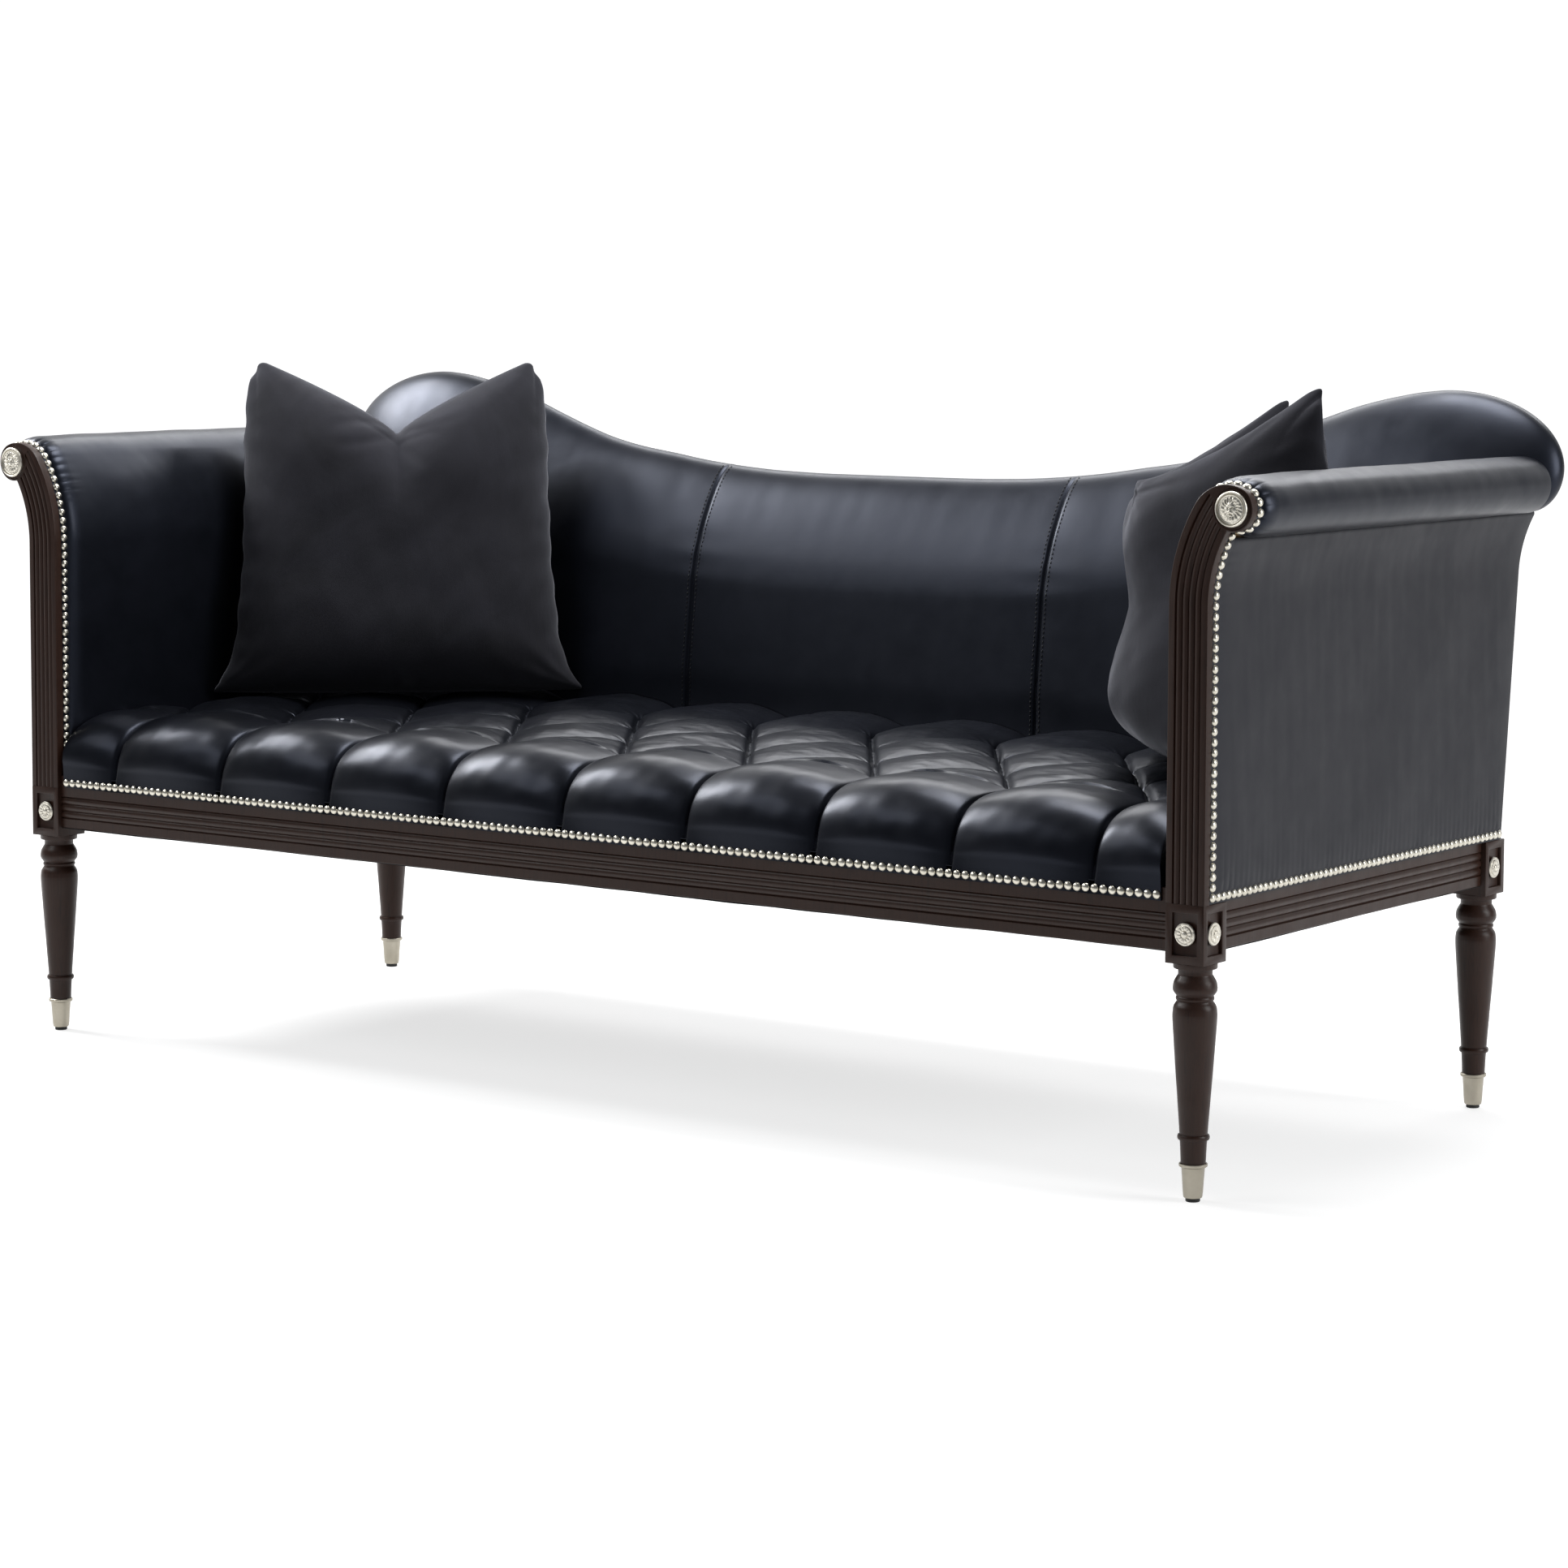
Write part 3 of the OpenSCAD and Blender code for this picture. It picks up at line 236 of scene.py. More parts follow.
def smooth_noise(p, seed, scale, octaves=2):
    """Seeded sum of sines: a smooth, repeatable undulation for points p (..., 3), about -1 to 1."""
    rng = np.random.RandomState(seed)
    q = p.reshape(-1, 3)
    out = np.zeros(len(q))
    amp = 1.0
    for o in range(octaves):
        for _ in range(6):
            k = rng.normal(size=3)
            k *= 2 * math.pi / (scale / (o + 1)) / np.linalg.norm(k) * rng.uniform(0.6, 1.4)
            out += amp * np.sin(q @ k + rng.uniform(0, 6.28))
        amp *= 0.5
    return out.reshape(p.shape[:-1]) / 4.0


def points(x, y, z):
    """Points (..., 3) of grids x, y and z, of which some may be plain numbers."""
    return np.stack(np.broadcast_arrays(x, y, z), -1)


def lengths(line):
    """Length along a line of points, from its first to each."""
    return np.concatenate([[0], np.cumsum(np.linalg.norm(np.diff(line, axis=0), axis=1))])


def stretches(stops, counts):
    """Even points over each stretch between two stops, counts[i] over the i-th with its ends."""
    runs = [np.linspace(a, b, n)[:-1] for a, b, n in zip(stops, stops[1:], counts)]
    return np.append(np.concatenate(runs), stops[-1])


def bell(x, width):
    return np.exp(-(x / width) ** 2)


def ease(t):
    """Quarter circle from 0 to 1."""
    t = np.clip(t, 0, 1)
    return np.sqrt(1 - (1 - t) ** 2)


def smooth(t):
    t = np.clip(t, 0, 1)
    return t * t * (3 - 2 * t)


def crease(u, power):
    """1 at whole numbers, falling to 0 halfway: sharp valleys between round swells."""
    return 1 - np.abs(np.sin(math.pi * u)) ** power


# ---------------- materials
def srgb(h):
    c = [int(h[i:i + 2], 16) / 255 for i in (1, 3, 5)]
    return tuple(x / 12.92 if x <= 0.04045 else ((x + 0.055) / 1.055) ** 2.4 for x in c) + (1.0,)


class Mat:
    def __init__(self, name):
        self.m = bpy.data.materials.new(name)
        self.m.use_nodes = True
        self.t = self.m.node_tree
        self.b = self.t.nodes["Principled BSDF"]
        self.coord = self.t.nodes.new("ShaderNodeTexCoord").outputs["Object"]

    def node(self, kind, **kw):
        n = self.t.nodes.new(kind)
        for k, v in kw.items():
            if k in n.inputs:
                n.inputs[k].default_value = v
            else:
                setattr(n, k, v)
        return n

    def link(self, a, b):
        self.t.links.new(a, b)

    def mapped(self, scale):
        n = self.node("ShaderNodeMapping", Scale=scale)
        self.link(self.coord, n.inputs["Vector"])
        return n.outputs["Vector"]

    def noise(self, scale, detail=4, rough=0.55, vec=None, distortion=0.0):
        n = self.node("ShaderNodeTexNoise", Scale=scale, Detail=detail, Roughness=rough,
                      Distortion=distortion)
        self.link(vec or self.coord, n.inputs["Vector"])
        return n.outputs["Fac"]

    def ramp(self, fac, stops):
        n = self.node("ShaderNodeValToRGB")
        el = n.color_ramp.elements
        el[0].position, el[0].color = stops[0]
        el[1].position, el[1].color = stops[-1]
        for p, c in stops[1:-1]:
            e = el.new(p)
            e.color = c
        self.link(fac, n.inputs["Fac"])
        return n.outputs["Color"]

    def math(self, op, a, b):
        n = self.node("ShaderNodeMath", operation=op)
        for i, x in enumerate((a, b)):
            if isinstance(x, (int, float)):
                n.inputs[i].default_value = x
            else:
                self.link(x, n.inputs[i])
        return n.outputs[0]

    def bump(self, height, strength, dist, normal=None):
        n = self.node("ShaderNodeBump", Strength=strength, Distance=dist)
        self.link(height, n.inputs["Height"])
        if normal:
            self.link(normal, n.inputs["Normal"])
        return n.outputs["Normal"]

    def set(self, **kw):
        for k, v in kw.items():
            k = k.replace("_", " ")
            if isinstance(v, (int, float, tuple)):
                self.b.inputs[k].default_value = v
            else:
                self.link(v, self.b.inputs[k])

    def colour(self, fac, *stops):
        self.set(Base_Color=self.ramp(fac, [(at, srgb(c)) for at, c in stops]))

    def roughness(self, fac, *stops):
        self.set(Roughness=self.ramp(fac, [(at, grey(v)) for at, v in stops]))


def grey(v):
    return (v, v, v, 1)


def leather(name, dark, light, rough, ripple, coat, spec, tint="#cfdcff"):
    m = Mat(name)
    m.colour(m.noise(9, 3, 0.5), (0.3, dark), (0.75, light))
    grain = m.noise(700, 3, 0.5)
    m.set(Normal=m.bump(grain, 0.08, 0.0002, m.bump(m.noise(26, 3, 0.5), ripple, 0.004)))
    m.roughness(m.noise(26, 4, 0.6), (0.25, rough - 0.04), (0.8, rough + 0.05))
    m.set(Specular_IOR_Level=spec, Specular_Tint=srgb(tint), Coat_Weight=coat, Coat_Roughness=0.2)
    return m.m


def wood(name, dark, light, rough):
    m = Mat(name)
    grain = m.noise(5.5, 6, 0.62, m.mapped((30, 30, 2.2)), 0.6)
    fine = m.noise(1.0, 3, 0.6, m.mapped((420, 420, 16)))
    mix = m.math("ADD", m.math("MULTIPLY", grain, 0.75), m.math("MULTIPLY", fine, 0.25))
    m.colour(mix, (0.28, dark), (0.5, light), (0.78, dark))
    m.roughness(m.noise(40, 3), (0.3, rough - 0.05), (0.75, rough + 0.08))
    m.set(Normal=m.bump(fine, 0.12, 0.0004), Specular_IOR_Level=0.24, Coat_Weight=0.05,
          Coat_Roughness=0.25)
    return m.m


def metal(name, dark, light, rough, bump=0.04, scale=240):
    m = Mat(name)
    n = m.noise(scale, 4, 0.6)
    m.colour(n, (0.25, dark), (0.7, light))
    m.set(Metallic=1.0, Normal=m.bump(n, bump, 0.0004))
    m.roughness(m.noise(scale * 0.4, 3), (0.3, rough - 0.06), (0.7, rough + 0.1))
    return m.m


def velvet(name, dark, light):
    m = Mat(name)
    m.colour(m.noise(7, 5, 0.6, None, 0.7), (0.3, dark), (0.72, light))
    pile = m.noise(900, 4, 0.7)
    nap = m.noise(160, 4, 0.6, m.mapped((1, 1, 0.25)))
    m.set(Normal=m.bump(pile, 0.45, 0.0005, m.bump(nap, 0.2, 0.001)))
    m.set(Roughness=0.95, Sheen_Weight=0.55, Sheen_Roughness=0.4, Specular_IOR_Level=0.1,
          Sheen_Tint=srgb("#a6a8b0"))
    return m.m


def cloth(name, dark, light, scale, rough=0.9):
    m = Mat(name)
    threads = []
    for way in "XY":
        w = m.node("ShaderNodeTexWave", Scale=scale, Distortion=0.4, Detail=1.0,
                   bands_direction=way)
        m.link(m.coord, w.inputs["Vector"])
        threads.append(w.outputs["Fac"])
    mix = m.math("MULTIPLY", *threads)
    m.colour(mix, (0.0, dark), (1.0, light))
    m.set(Normal=m.bump(mix, 0.4, 0.001), Roughness=rough)
    return m.m


LEATHER = leather("leather_black", "#06070a", "#0b0c11", 0.39, 0.07, 0.06, 0.34)
SEAT = leather("leather_seat", "#08090c", "#0d0e13", 0.35, 0.05, 0.03, 0.21)
OUTSIDE = leather("leather_outside", "#17171a", "#1b1b1e", 0.50, 0.10, 0.0, 0.32, "#e8ecff")
WOOD = wood("wood_espresso", "#1e110c", "#311e16", 0.40)
BARE = wood("wood_bare", "#a98458", "#c9a878", 0.75)
NICKEL = metal("nickel_antique", "#c9c4b8", "#dad6cb", 0.38, 0.02, 60)
SATIN = metal("nickel_satin", "#9b9587", "#aaa497", 0.34, 0.01, 30)
NAILM = metal("nickel_nail", "#c4bfb1", "#d6d2c6", 0.3, 0.02, 60)
BLACK = metal("glide_black", "#050505", "#0c0c0c", 0.6)
BLACK.node_tree.nodes["Principled BSDF"].inputs["Metallic"].default_value = 0.0
VELVET = velvet("velvet_charcoal", "#26262a", "#303036")
JUTE = cloth("jute_web", "#6d5433", "#b2925f", 160)
FOAM = cloth("foam_cut", "#d2c48f", "#eadfb6", 420)
DUST = cloth("dust_cloth", "#060606", "#141414", 300)
THREAD = cloth("thread_black", "#08090b", "#15161a", 900, 0.6)

by_slot = {"show_wood": WOOD, "frame_wood": BARE, "nickel": NICKEL, "nail_nickel": NAILM,
           "glide_black": BLACK, "leather": LEATHER, "outside_leather": OUTSIDE, "jute": JUTE,
           "foam": FOAM, "dust_cloth": DUST, "velvet": VELVET}
slots = {s["node"]: s["material_slot"] for s in frame["record"]["subparts"]}
for node, ob in frame["nodes"].items():
    if hasattr(ob, "data") and hasattr(ob.data, "materials"):
        m = by_slot[slots[node]]
        if len(ob.data.materials) == 0:
            ob.data.materials.append(m)
        for i in range(len(ob.data.materials)):
            ob.data.materials[i] = m

# ---------------- legs, rails and posts
LX, LY = W2 - BLOCK / 2, D2 - BLOCK / 2
LEG_TURNING = np.vstack([
    [(0, 296), (26.0, 296), (26.2, 293.6), (27.0, 292.6), (27.0, 287.4), (26.3, 286.2), (21.5, 285.4)],
    [(21.1, 284.4), (21.0, 281.5), (21.0, 279.0)],
    catmull([(21.0, 278.4), (23.7, 274), (25.8, 270), (26.8, 266), (27.2, 262), (26.5, 258),
             (23.8, 254.2), (22.4, 252.4)], 4),
    [(22.4, 252.2), (23.1, 251.3), (23.5, 249.6), (23.2, 247.8), (22.1, 246.9)],
    catmull([(22.1, 246.3), (23.2, 244.3), (24.8, 242.0), (26.4, 238.3), (27.1, 233), (27.3, 228.4),
             (26.9, 218.5), (25.5, 198.6), (24.1, 178.8), (22.7, 158.9), (21.1, 139.1), (19.7, 119.2),
             (18.2, 99.3), (17.3, 85.4), (17.1, 83.2)], 4),
    [(17.1, 82.8), (18.9, 82.4), (19.6, 81.2), (19.8, 79.5), (19.6, 77.8), (18.9, 76.6), (16.9, 76.1)],
    [(16.8, 75.8), (16.4, 72), (15.8, 61), (15.4, 50), (15.3, 45.4), (13.2, 44.6), (0, 44.6)]])
FERRULE = [(15.2, 46.6), (16.6, 47.4), (17.4, 46.9), (17.6, 45.4), (17.3, 43.6), (16.2, 42.7), (14.8, 42.2),
           (14.3, 41), (13.2, 26), (12.3, 12), (11.8, 7.2), (11.2, 5.2), (9.8, 4.4), (0, 4.3), (0, 43.6),
           (15.2, 43.6), (15.2, 46.6)]
GLIDE = [(0, 0), (8.3, 0), (9.0, 0.8), (9.0, 4.4), (0, 4.4)]


def sunk_block(lo, hi, sunk):
    """Box with a sunk panel on faces of sunk, (axis, side): (half width, half height, depth)."""
    lo, hi = np.array(lo, float), np.array(hi, float)
    mid = (lo + hi) / 2
    vs, fs = [], []

    def quad(pts):
        fs.append(tuple(range(len(vs), len(vs) + 4)))
        vs.extend(pts)

    for ax, u, v in ((0, 1, 2), (1, 0, 2), (2, 0, 1)):
        for side in (-1, 1):
            def at(cu, cv, c):
                p = [0, 0, 0]
                p[ax], p[u], p[v] = c, cu, cv
                return p
            c = hi[ax] if side > 0 else lo[ax]
            corners = [(lo[u], lo[v]), (hi[u], lo[v]), (hi[u], hi[v]), (lo[u], hi[v])]
            if (ax, side) not in sunk:
                quad([at(a, b, c) for a, b in corners])
                continue
            hw, hh, dep = sunk[(ax, side)]
            inner = [(mid[u] + i * hw, mid[v] + j * hh) for i, j in ((-1, -1), (1, -1), (1, 1), (-1, 1))]
            deep = c - side * dep
            for k in range(4):
                a, b = corners[k], corners[(k + 1) % 4]
                p, q = inner[k], inner[(k + 1) % 4]
                quad([at(*a, c), at(*b, c), at(*q, c), at(*p, c)])
                quad([at(*p, c), at(*q, c), at(*q, deep), at(*p, deep)])
            quad([at(a, b, deep) for a, b in inner])
    return np.array(vs), fs


def soften(ob, width, ang=0.5, segs=2):
    """Merges coincident points and rounds the edges sharper than ang by width, in mm."""
    bm = bmesh.new()
    bm.from_mesh(ob.data)
    bmesh.ops.remove_doubles(bm, verts=bm.verts, dist=2e-6)
    bmesh.ops.dissolve_degenerate(bm, edges=bm.edges, dist=1e-7)
    bmesh.ops.recalc_face_normals(bm, faces=bm.faces)
    if width:
        bmesh.ops.bevel(bm, geom=folded(bm, ang), offset=width / 1000, segments=segs, profile=0.5,
                        affect="EDGES", clamp_overlap=True)
    for f in bm.faces:
        f.smooth = True
    for e in folded(bm, CRISP):
        e.smooth = False
    bm.to_mesh(ob.data)
    bm.free()


def crisp(name, verts, faces, mat, slot, **kw):
    """As make, with coincident points merged and the folded edges shaded crisp."""
    ob = make(name, verts, faces, mat, slot, **kw)
    soften(ob, 0)
    return ob


def cut_out(ob, cutter):
    """Takes cutter's solid out of ob."""
    m = ob.modifiers.new("cut", "BOOLEAN")
    m.object, m.operation, m.solver = cutter, "DIFFERENCE", "EXACT"
    dg = bpy.context.evaluated_depsgraph_get()
    me = bpy.data.meshes.new_from_object(ob.evaluated_get(dg))
    ob.modifiers.clear()
    old, ob.data = ob.data, me
    bpy.data.meshes.remove(old)


def raw(name, verts, faces):
    """Clean solid to cut or to cut with, not yet a piece of the model."""
    ob = plain(name, verts, faces)
    soften(ob, 0)
    return ob


def drop(ob):
    me = ob.data
    bpy.data.objects.remove(ob)
    bpy.data.meshes.remove(me)


def box(lo, hi):
    return sunk_block(lo, hi, {})


def extruded(profile, at, a, b):
    """Prism of a closed profile; at(p, t) places a profile point at t, here a and b."""
    return np.array([at(p, t) for t in (a, b) for p in profile]), capped(2, len(profile), flip=True)


def reeds(n, pitch):
    """Profile of n convex reeds between grooves, as (into the wood, across)."""
    steps, depth = 14, 2.4
    e, w = n * pitch / 2, pitch / 8
    across = [i / steps for i in range(n * steps + 1)]
    return [(0, -e - w)] + [(depth * crease(s, 0.62), s * pitch - e) for s in across] + [(0, e + w)]


def turned(name, profile, seg, at, mat, slot, node=None):
    v, f = lathe(profile, seg)
    crisp(name, v + [*at, 0], f, mat, slot, node=node)


PANEL = (17.3, 26, 5)              # half width, half height and depth of a block's sunk panel
TONGUE_X, TONGUE_Y0 = (949.4, 995.6), 341.0    # part of the block that runs up behind the leather
for end, sy, tongue_y1 in (("front", -1, 367.0), ("rear", 1, 384.0)):
    for hand, sx in (("right", 1), ("left", -1)):
        name = end + "_" + hand
        at = np.array([sx * LX, sy * LY])
        half = BLOCK / 2
        block = sunk_block((*(at - half), LEG_H), (*(at + half), TOP),
                           {(0, sx): PANEL, (1, sy): PANEL})
        x0, x1 = sorted(sx * x for x in TONGUE_X)
        y0, y1 = sorted((sy * TONGUE_Y0, sy * tongue_y1))
        v, f = join_parts([block, box((x0, y0, TOP - 1), (x1, y1, RAIL_TOP - 0.2))])
        soften(make("leg_" + name, v, f, WOOD, "show_wood"), 0.9, 0.6)
        turned("leg_turning_" + name, LEG_TURNING, 72, at, WOOD, "show_wood", node="")
        turned("ferrule_" + name, FERRULE, 64, at, SATIN, "nickel")
        turned("glide_" + name, GLIDE, 48, at, BLACK, "glide_black")

# rails: profiles as (out from the middle, height), drawn for the front and the rear
RAIL_X, RAIL_Y = 948.8, 340.8      # half lengths of the long and the short rails
SIDE_OUT = W2 - D2                 # the side rails lie this much farther out
reeded = ([(387.2, 307), (388, 307.8)] + [(388 - d, TOP - 29.5 + z) for d, z in reeds(3, 10.17)]
          + [(388, 383), (387, 384), (361, 384), (360, 383), (360, 307.6), (361, 307)])
bare = [(387.2, 307), (388, 307.8), (388, TOP), (388, 366.1), (377, 384), (360, 384), (360, 307)]
for name, prof, half, at in (
        ("front_rail", reeded, RAIL_X, lambda p, t: (t, -p[0], p[1])),
        ("rear_rail", bare, RAIL_X,
         lambda p, t: (t, min(p[0], rear_y(p[1]) - 7.4) if p[1] > TOP else p[0], p[1])),
        ("side_rail_right", reeded, RAIL_Y, lambda p, t: (p[0] + SIDE_OUT, t, p[1])),
        ("side_rail_left", reeded, RAIL_Y, lambda p, t: (-p[0] - SIDE_OUT, t, p[1]))):
    v, f = extruded(prof, at, -half, half)
    crisp(name, v, f, WOOD, "show_wood")


def on_scroll(name, profile):
    """Solid for a cut, turned about the scroll's axis; profile as (r, behind the post's face)."""
    v, f = lathe(profile, 96)
    return raw(name, np.column_stack([W2 + SC[0] + v[:, 0], -D2 + v[:, 2], SC[1] + v[:, 1]]), f)


def post(side):
    r, let_in = 1.3, 27            # rounding of the front edge, and depth with the part let in
    prof = [(0, r), (0.18, r * 0.5), (0.5, r * 0.18), (r, 0.0), (SHOW - 0.4, 0.0),
            (SHOW, 0.4), (SHOW, 2.0), (let_in, 2.0)]
    loops = []
    for y, g in prof:
        o = arm_outline(-g, -g, TOP, (12, 36, 24, 60, 40, 14))
        loops.append(points(W2 + o[:, 0], y - D2, o[:, 1]))
    ob = raw("vis_post_" + side, np.vstack(loops), capped(len(loops), len(loops[0]), flip=True))
    # the reeds' cutter stands 1.5 mm proud, runs up the block and follows the bend to the ring
    rd = reeds(4, 8.6)
    rd = [(-1.5, rd[0][1])] + rd + [(-1.5, rd[-1][1])]
    vv = [(LX + c, -D2 + d, z) for z in (TOP - 3, 600.0) for d, c in rd]
    for a in np.radians(np.linspace(0, 37, 26)):
        for d, c in rd:
            rad = BR + BLOCK / 2 - c
            vv.append((W2 + BC[0] - rad * math.cos(a), -D2 + d, BC[1] + rad * math.sin(a)))
    cut = raw("cut", np.array(vv), capped(len(vv) // len(rd), len(rd), flip=True))
    ring = on_scroll("ring", [(0, -40), (SR, -40), (SR, 40), (0, 40)])
    cut_out(cut, ring)
    cut_out(ob, cut)
    groove = on_scroll("groove", [(24.1, -1), (25.5, -1), (25.5, 0.3), (24.8, 0.9), (24.1, 0.3),
                                  (24.1, -1)])
    cut_out(ob, groove)
    for c in (cut, ring, groove):
        drop(c)
    if side == "left":
        for q in ob.data.vertices:
            q.co.x *= -1
        ob.data.flip_normals()
    soften(ob, 0)
    ob.data.materials.clear()
    ob.data.materials.append(WOOD)
    dress(ob, "show_wood", "settee", "post_" + side)


for side in ("left", "right"):
    post(side)


# ---------------- rosettes and medallions
def relief(radius, base, height, nr, nt):
    """Disc standing on its base: height(x, y, r, t) over a polar grid, with a wall down to base."""
    rr = radius * np.concatenate([[0.0], np.linspace(0.02, 1, nr)])
    tt = np.arange(nt) * 2 * math.pi / nt
    r, t = np.meshgrid(rr, tt, indexing="ij")
    x, y = r * np.cos(t), r * np.sin(t)
    h = height(x, y, r, t)
    v = np.stack([x, y, h], -1)
    wall = np.stack([x[-1] * 0.985, y[-1] * 0.985, np.full(nt, base)], -1)[None]
    foot = np.zeros((1, nt, 3)) + [0, 0, base]
    v = np.concatenate([v, wall, foot]).reshape(-1, 3)
    return v, grid_faces(nr + 3, nt, close_m=True)


def blob(x, y, cx, cy, rx, ry):
    """Dome of height 1 on an ellipse."""
    q = ((x - cx) / rx) ** 2 + ((y - cy) / ry) ** 2
    return np.sqrt(np.clip(1 - q, 0, None))


# domes and hollows of the lion's face as (height, x, y, half width, half height), in pairs off x = 0
FACE = ((3.1, 0, 0.3, 8.4, 9.4), (1.3, 0, 5.0, 5.2, 3.2), (1.2, 0, -0.2, 1.7, 4.6),
        (0.9, 0, -2.6, 2.3, 1.5), (1.5, 2.1, -4.0, 2.6, 2.1), (0.9, 3.3, 3.5, 2.5, 1.1),
        (-1.5, 3.2, 1.9, 1.6, 1.0), (0.5, 3.2, 1.8, 0.8, 0.7), (1.3, 7.0, 7.0, 2.2, 2.2),
        (0.7, 5.0, -0.8, 2.4, 2.8), (-1.2, 0, -5.8, 2.8, 0.7), (0.9, 0, -7.4, 2.4, 1.5))


def lion(x, y, r, t):
    h = np.full_like(r, 3.6)
    h += 2.2 * bell(r - 20.0, 1.35) + 0.9 * bell(r - 17.0, 0.7)
    h -= 1.6 * bell(r - 18.4, 0.5)
    h = np.where(r > 21.4, h - (r - 21.4) * 6, h)
    mane = np.cos(17 * t + 0.9 * np.sin(3 * t) + 0.35 * r) * 0.5 + 0.5
    h += (0.7 + 1.7 * mane ** 0.7) * np.exp(-((r - 11.4) / 3.3) ** 4)
    for rise_by, cx, cy, rx, ry in FACE:
        for s in (-1, 1) if cx else (1,):
            h += rise_by * blob(x, y, s * cx, cy, rx, ry)
    return 0.4 + np.clip(h, 0.4, 9.5) * 0.78


def flower(x, y, r, t):
    h = np.full_like(r, 4.6)
    petals = np.abs(np.cos(4 * t))
    h += 0.55 * petals ** 0.6 * bell(r - 12.2, 1.9)
    h = np.where(r > 13.6, h - (r - 13.6) * 1.6, h)
    step = np.clip((10.4 - r) / 0.5, 0, 1)
    h += step * (1.4 + 0.5 * np.abs(np.sin(6 * t)) * bell(r - 7.4, 2.2))
    h += 1.7 * blob(x, y, 0, 0, 4.2, 4.2)
    h -= 0.6 * bell(r - 4.5, 0.5)
    return h


def facing(v, c, axis):
    """Relief points turned to face -Y, or +X or -X, on centre c."""
    x, y, z = v.T
    if axis == "-y":
        return np.column_stack([c[0] + x, c[1] - z, c[2] + y])
    s = 1 if axis == "+x" else -1
    return np.column_stack([c[0] + s * z, c[1] + s * x, c[2] + y])


mv, mf = relief(21.75, 0.0, lion, 60, 180)
for side, sx in (("left", -1), ("right", 1)):
    v = facing(mv, (sx * (W2 + SC[0]), -D2, SC[1]), "-y")
    crisp("medallion_" + side, v, mf, NICKEL, "nickel", node="scroll_rosette_" + side)
rv, rf = relief(14.25, 3.0, flower, 40, 120)
stand = lathe([(0, 0), (7.0, 0), (7.0, 3.2), (0, 3.2)], 40)
parts = []
zc, sink = LEG_H + BLOCK_H / 2, PANEL[2]
for sx in (-1, 1):
    for v, f in ((rv, rf), stand):
        parts.append((facing(v, (sx * LX, sink - D2, zc), "-y"), f))
        for sy in (-1, 1):
            parts.append((facing(v, (sx * (W2 - sink), sy * LY, zc), "+x" if sx > 0 else "-x"), f))
crisp("block_rosettes", *join_parts(parts), NICKEL, "nickel")

# ---------------- nails
NAIL_D, NAIL_H, PITCH = 11.3, 4.0, 12.6
dome = [(math.sin(a) * NAIL_D / 2, NAIL_H * math.cos(a)) for a in np.linspace(0, math.pi / 2, 8)]
nail_v, nail_f = lathe(dome + [(NAIL_D / 2 - 0.3, -0.5), (0, -0.5)], 20)
rng = np.random.RandomState(5)


def nails(name, places, side="right"):
    """One piece of nails at places (foot, along, out), each a little askew."""
    parts = []
    for foot, along, out in places:
        out = np.array(out, float) / np.linalg.norm(out)
        out = out + rng.normal(size=3) * 0.035
        out /= np.linalg.norm(out)
        u = np.cross(out, along)
        u /= np.linalg.norm(u)
        w = np.cross(out, u)
        parts.append((np.array(foot) + np.outer(nail_v[:, 0], u) + np.outer(nail_v[:, 1], w)
                      + np.outer(nail_v[:, 2], out) + rng.normal(size=3) * 0.12, nail_f))
    crisp(name, *handed(side, *join_parts(parts)), NAILM, "nail_nickel")


def nail_row(a, b, out):
    """Places for a straight row from a to b."""
    a, b = np.array(a, float), np.array(b, float)
    n = int(round(np.linalg.norm(b - a) / PITCH))
    return [(a + (b - a) * i / n, (b - a) / np.linalg.norm(b - a), out) for i in range(n + 1)]


SEAT_HALF = W2 - BLOCK - PAD - GAP
NX = SEAT_HALF - NAIL_D / 2
nails("nails_front", nail_row((-NX, SEAT_Y0, NAIL_Z), (NX, SEAT_Y0, NAIL_Z), (0, -1, 0)))
# along a post: up its outside, round the scroll and down the inside to above the seat
SIDE_Y0 = SHOW + NAIL_D / 2 - D2
PATH_N = (1, 60, 40, 90, 60, 1)
path = arm_outline(0, 0, NAIL_Z + PITCH, PATH_N)[::-1]
runs = lengths(path)
corner = runs[PATH_N[4] + PATH_N[5]]           # under the scroll
end = runs[-1] - 30


def along_path(s):
    """Place for a post nail at length s along the path."""
    k = np.searchsorted(runs, s, side="right") - 1
    k = min(max(k, 0), len(path) - 2)
    t = (path[k + 1] - path[k]) / np.linalg.norm(path[k + 1] - path[k])
    p = path[k] + t * (s - runs[k])
    return (W2 + p[0], SIDE_Y0, p[1]), (t[0], 0, t[1]), (t[1], 0, -t[0])


for side in ("left", "right"):
    rear = (W2, rear_y(NAIL_Z) - NAIL_D * 0.6, NAIL_Z)
    nails("nails_side_" + side, nail_row((W2, SIDE_Y0, NAIL_Z), rear, (1, 0, 0)), side)
    places = []
    for s0, s1 in ((0, corner - NAIL_D * 0.7), (corner + NAIL_D * 0.7, end)):
        n = int(round((s1 - s0) / PITCH))
        places += [along_path(s0 + (s1 - s0) * i / n) for i in range(n + 1)]
    nails("nails_post_" + side, places, side)

# ---------------- upholstery: arms
ARM_SEAM_Z = SC[1] - SR - PAD - GAP             # top of the outside panel, under the scroll
ARM_FOOT_Z = 400
NA = (16, 60, 44, 120, 10, 2)      # points on the outline's runs, of which the pad has four
ARM_N = sum(NA[:4]) + 1


